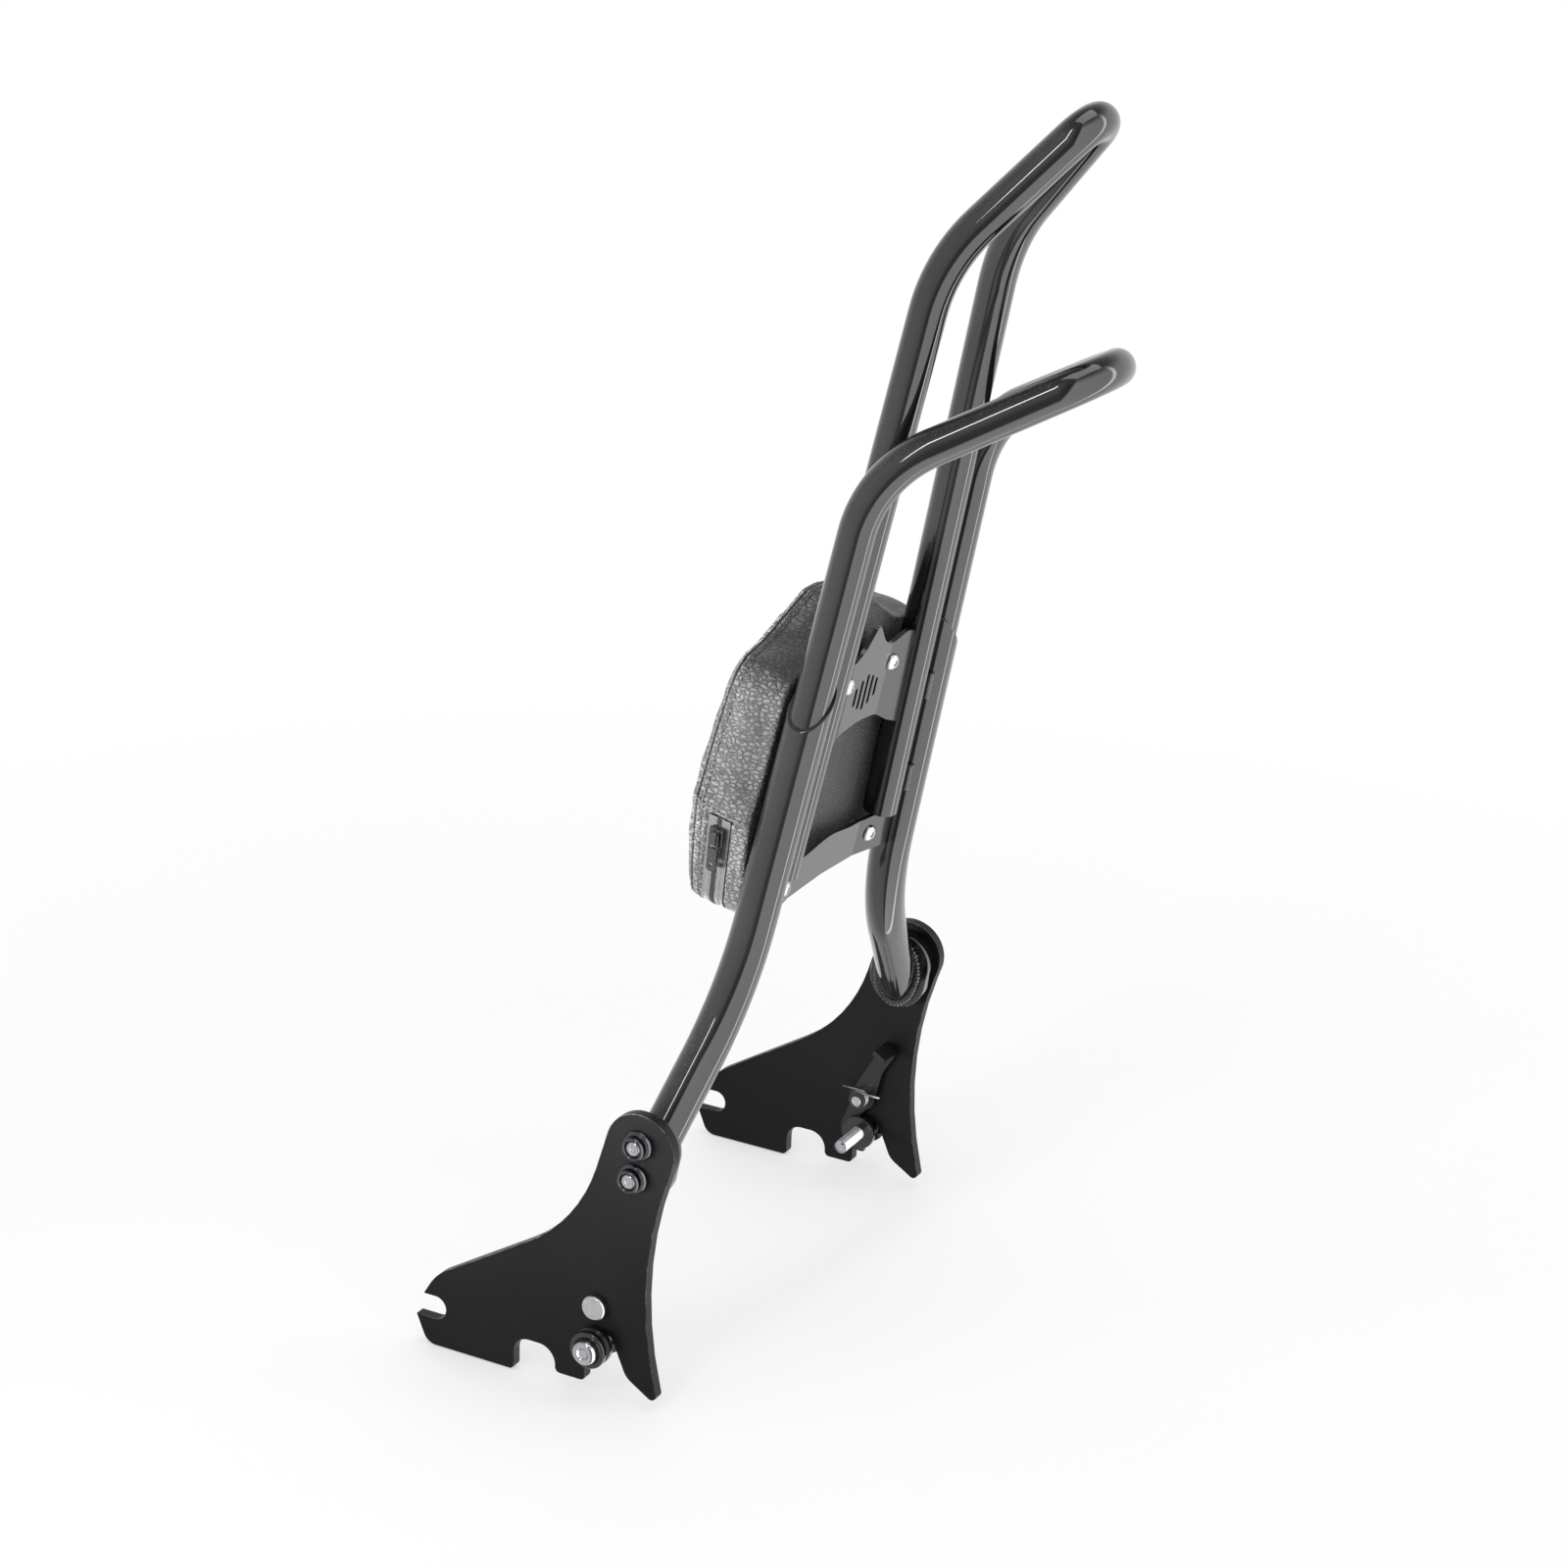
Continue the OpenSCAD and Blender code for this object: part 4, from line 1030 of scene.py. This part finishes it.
def swell(points, faces, kinds_per_point):
    """Fills the pad as cloth under light pressure, held along its seams, and gives back how
    far each point moved. A coarser copy is simulated, and its moves are carried over."""
    mesh = bpy.data.meshes.new("filling")
    mesh.from_pydata([tuple(p) for p in points], [], faces)
    made = bpy.data.objects.new("filling", mesh)
    scene.collection.objects.link(made)
    mould = made.modifiers.new("even", "REMESH")
    mould.mode, mould.voxel_size = "VOXEL", 0.0065
    settle(made)
    rest = np.array([v.co for v in made.data.vertices])
    tree = KDTree(len(points))
    for i, p in enumerate(points):
        tree.insert(Vector(p), i)
    tree.balance()
    held = made.vertex_groups.new(name="held")
    for i, p in enumerate(rest):
        kind = kinds_per_point[tree.find(Vector(p))[1]]
        weight = {"front seam": 1.0, "back edge": 1.0, "back": 0.9, "zip": 0.95}.get(kind, 0)
        if weight:
            held.add([i], weight, "REPLACE")
    cloth = made.modifiers.new("cloth", "CLOTH")
    settings = cloth.settings
    settings.quality = 3
    settings.mass = 0.35
    settings.tension_stiffness = settings.compression_stiffness = 14
    settings.shear_stiffness = 6
    settings.bending_model = "LINEAR"
    settings.bending_stiffness = 0.1
    settings.shrink_min = -0.035
    settings.use_pressure = True
    settings.uniform_pressure_force = 4
    settings.vertex_group_mass = "held"
    settings.pin_stiffness = 1.0
    settings.effector_weights.gravity = 0
    cloth.collision_settings.use_collision = False
    for step in range(1, 11):
        scene.frame_set(step)
    bpy.context.view_layer.update()
    seen = made.evaluated_get(bpy.context.evaluated_depsgraph_get())
    after = np.array([v.co for v in seen.data.vertices])
    move = after - rest
    reach = np.linalg.norm(move, axis=1)
    cap = 0.0026
    move *= (np.minimum(reach, cap) / np.maximum(reach, 1e-9))[:, None]
    bpy.data.objects.remove(made)
    scene.frame_set(1)
    near = KDTree(len(rest))
    for i, p in enumerate(rest):
        near.insert(Vector(p), i)
    near.balance()
    out = np.zeros((len(points), 3))
    for i, p in enumerate(points):
        found = near.find_n(Vector(p), 8)
        weights = np.array([math.exp(-(d / 0.005) ** 2) for _, _, d in found]) + 1e-9
        out[i] = (move[[n for _, n, _ in found]] * weights[:, None]).sum(0) / weights.sum()
    return out


def make_pad():
    rings, kinds = pad_rings()
    sides = len(OUTLINE)
    flat = np.concatenate([ring for ring, _ in rings])
    forward = np.concatenate([f for _, f in rings])
    height = flat[:, 1]
    kind_list = []
    for kind, (ring, f) in zip(kinds, rings):
        for (x, s), depth in zip(ring, f):
            near_zip = s < ZIP_TOP + 4 and abs(depth - ZIP_FORWARD) < 8
            kind_list.append("zip" if kind == "band" and near_zip else kind)
    place = np.array([upright(x, f, s) for (x, s), f in zip(flat, forward)])
    faces = capped(len(rings), sides)
    outward = np.tile(OUTWARD, (len(rings), 1))
    band = np.array([k in ("band", "zip") for k in kind_list])
    moves = np.zeros_like(place)
    moves = swell(place, faces, kind_list)
    middle = 0.5 * (BACK + BACK + DEPTH - 4)
    share = np.clip(1 - ((forward - middle) / 19.0) ** 2, 0, 1)
    moves[band] *= (0.35 + 0.65 * share[band])[:, None]
    across = np.array([tuple(turned_upright(o[0], 0, o[1])) for o in outward])
    step_out = np.zeros(len(place))
    seam = height - cross_seam(forward)
    side_face = band & (np.abs(flat[:, 0]) > 60)
    lap = np.where(seam > 0, np.exp(-np.clip(seam - 0.6, 0, None) / 7.0), 0.0)
    groove = np.exp(-((seam + 0.5) / 0.8) ** 2)
    step_out += np.where(side_face, 0.8 * lap - 1.1 * groove, 0)
    below = seam < -0.6
    zip_near = np.abs(forward - ZIP_FORWARD)
    recess = np.clip(1 - (zip_near - 6.2) / 0.9, 0, 1) * below
    lip = np.exp(-((zip_near - 8.1) / 0.9) ** 2) * below
    step_out += np.where(band, -0.7 * recess + 0.35 * lip, 0)
    dimple = np.exp(-((forward - np.tile(front_of(OUTLINE) - 1.2, len(rings)) + 5.0) / 0.8)
                    ** 2)
    step_out += np.where(band, -0.22 * dimple, 0)
    moves[np.array([k not in ("band", "front") for k in kind_list])] *= 0.25
    place = place + moves + across * step_out[:, None] / 1000
    mesh = mesh_of("pad", place, faces)
    made = shown("pad_cover_soft", mesh, hide, instead_of=("pad_cover", "pad_foam"))
    return made.data


PAD = make_pad()
PAD_TREE = BVHTree.FromPolygons([v.co for v in PAD.vertices],
                                [tuple(p.vertices) for p in PAD.polygons])


def on_pad(point, lift=0.0):
    """The nearest place on the leather, lifted a little off it."""
    at, way, _, _ = PAD_TREE.find_nearest(point)
    return at + way * lift / 1000


stitch = small_round("stitch", 0.42, 0.42, 1.2)
front_edge = front_of(OUTLINE) - 1.2
row = [on_pad(upright(x, f - 5.0, s), 0.1)
       for (x, s), f in zip(OUTLINE + OUTWARD * 0.5, front_edge)]
repeated("pad_stitches_front", [row], stitch, 3.3, thread, uneven=0.05,
         turn=(0.05, 0.05, 0.0), seed=2, loop=True)
rows = []
for side in (-1, 1):
    line = []
    for forward in np.linspace(15.0, 44.5, 40):
        s = cross_seam(forward) + 2.6
        x = np.interp(s, (218, 279, 297), (70.5, 83.6, 79.8)) + 2
        line.append(on_pad(upright(side * x, forward, s), 0.1))
    rows.append(line)
repeated("pad_stitches_side", rows, stitch, 3.0, thread, uneven=0.05,
         turn=(0.05, 0.05, 0.0), seed=4)

# Zip

below_top = [i for i, p in enumerate(OUTLINE) if p[1] < ZIP_TOP - 0.3]
start = next(i for i in below_top if (i - 1) % len(OUTLINE) not in below_top)
run = []
i = start
while OUTLINE[i % len(OUTLINE)][1] < ZIP_TOP - 0.3:
    run.append(i % len(OUTLINE))
    i += 1


def zip_strip(name, low, high, lift, thick, look, instead_of=()):
    """A strip of the zip's tape between two distances either side of its middle."""
    vertices, lengths, along = [], [], 0.0
    for n, i in enumerate(run):
        (x, s), (ox, os) = OUTLINE[i], OUTWARD[i]
        if n:
            along += math.dist(OUTLINE[i], OUTLINE[run[n - 1]])
        lengths.append(along)
        for forward, out in ((low, lift), (high, lift), (high, lift + thick),
                             (low, lift + thick)):
            vertices.append(upright(x + ox * out, ZIP_FORWARD + forward, s + os * out))
    mesh = mesh_of(name, vertices, capped(len(run), 4))
    made = shown(name, mesh, look, instead_of=instead_of)
    for polygon in made.data.polygons:
        polygon.use_smooth = False
    layer = made.data.uv_layers.new(name="tape")
    for loop in made.data.loops:
        n, k = divmod(loop.vertex_index, 4)
        layer.data[loop.index].uv = (low if k in (0, 3) else high, lengths[n])
    return made


zip_strip("zip_tape_rear", -6.4, -1.3, 0.05, 0.42, tape_cloth, instead_of=("pad_zip",))
zip_strip("zip_tape_front", 1.3, 6.4, 0.05, 0.42, tape_cloth)
zip_strip("zip_base", -1.6, 1.6, 0.02, 0.2, tape_cloth)
coil_turn = small_round("zip turn", 0.3, 1.75, 0.42, sectors=14)
middle_line = []
for i in run:
    (x, s), (ox, os) = OUTLINE[i], OUTWARD[i]
    middle_line.append(upright(x + ox * 0.52, ZIP_FORWARD, s + os * 0.52))
repeated("zip_teeth", [middle_line], coil_turn, 1.2, nickel,
         across=tuple(turned_upright(0, 1, 0)), uneven=0.0, seed=1)
for small in (bead, stitch, coil_turn):
    bpy.data.objects.remove(small)

eased("zip_slider_eased", "zip_slider", 0.45, nickel, body="zip_slider",
      segments=3)
eased("zip_pull_eased", "zip_pull", 0.25, nickel, body="zip_pull", segments=3)
board = nodes["pad_board"]
board.data.materials.clear()
board.data.materials.append(plywood)
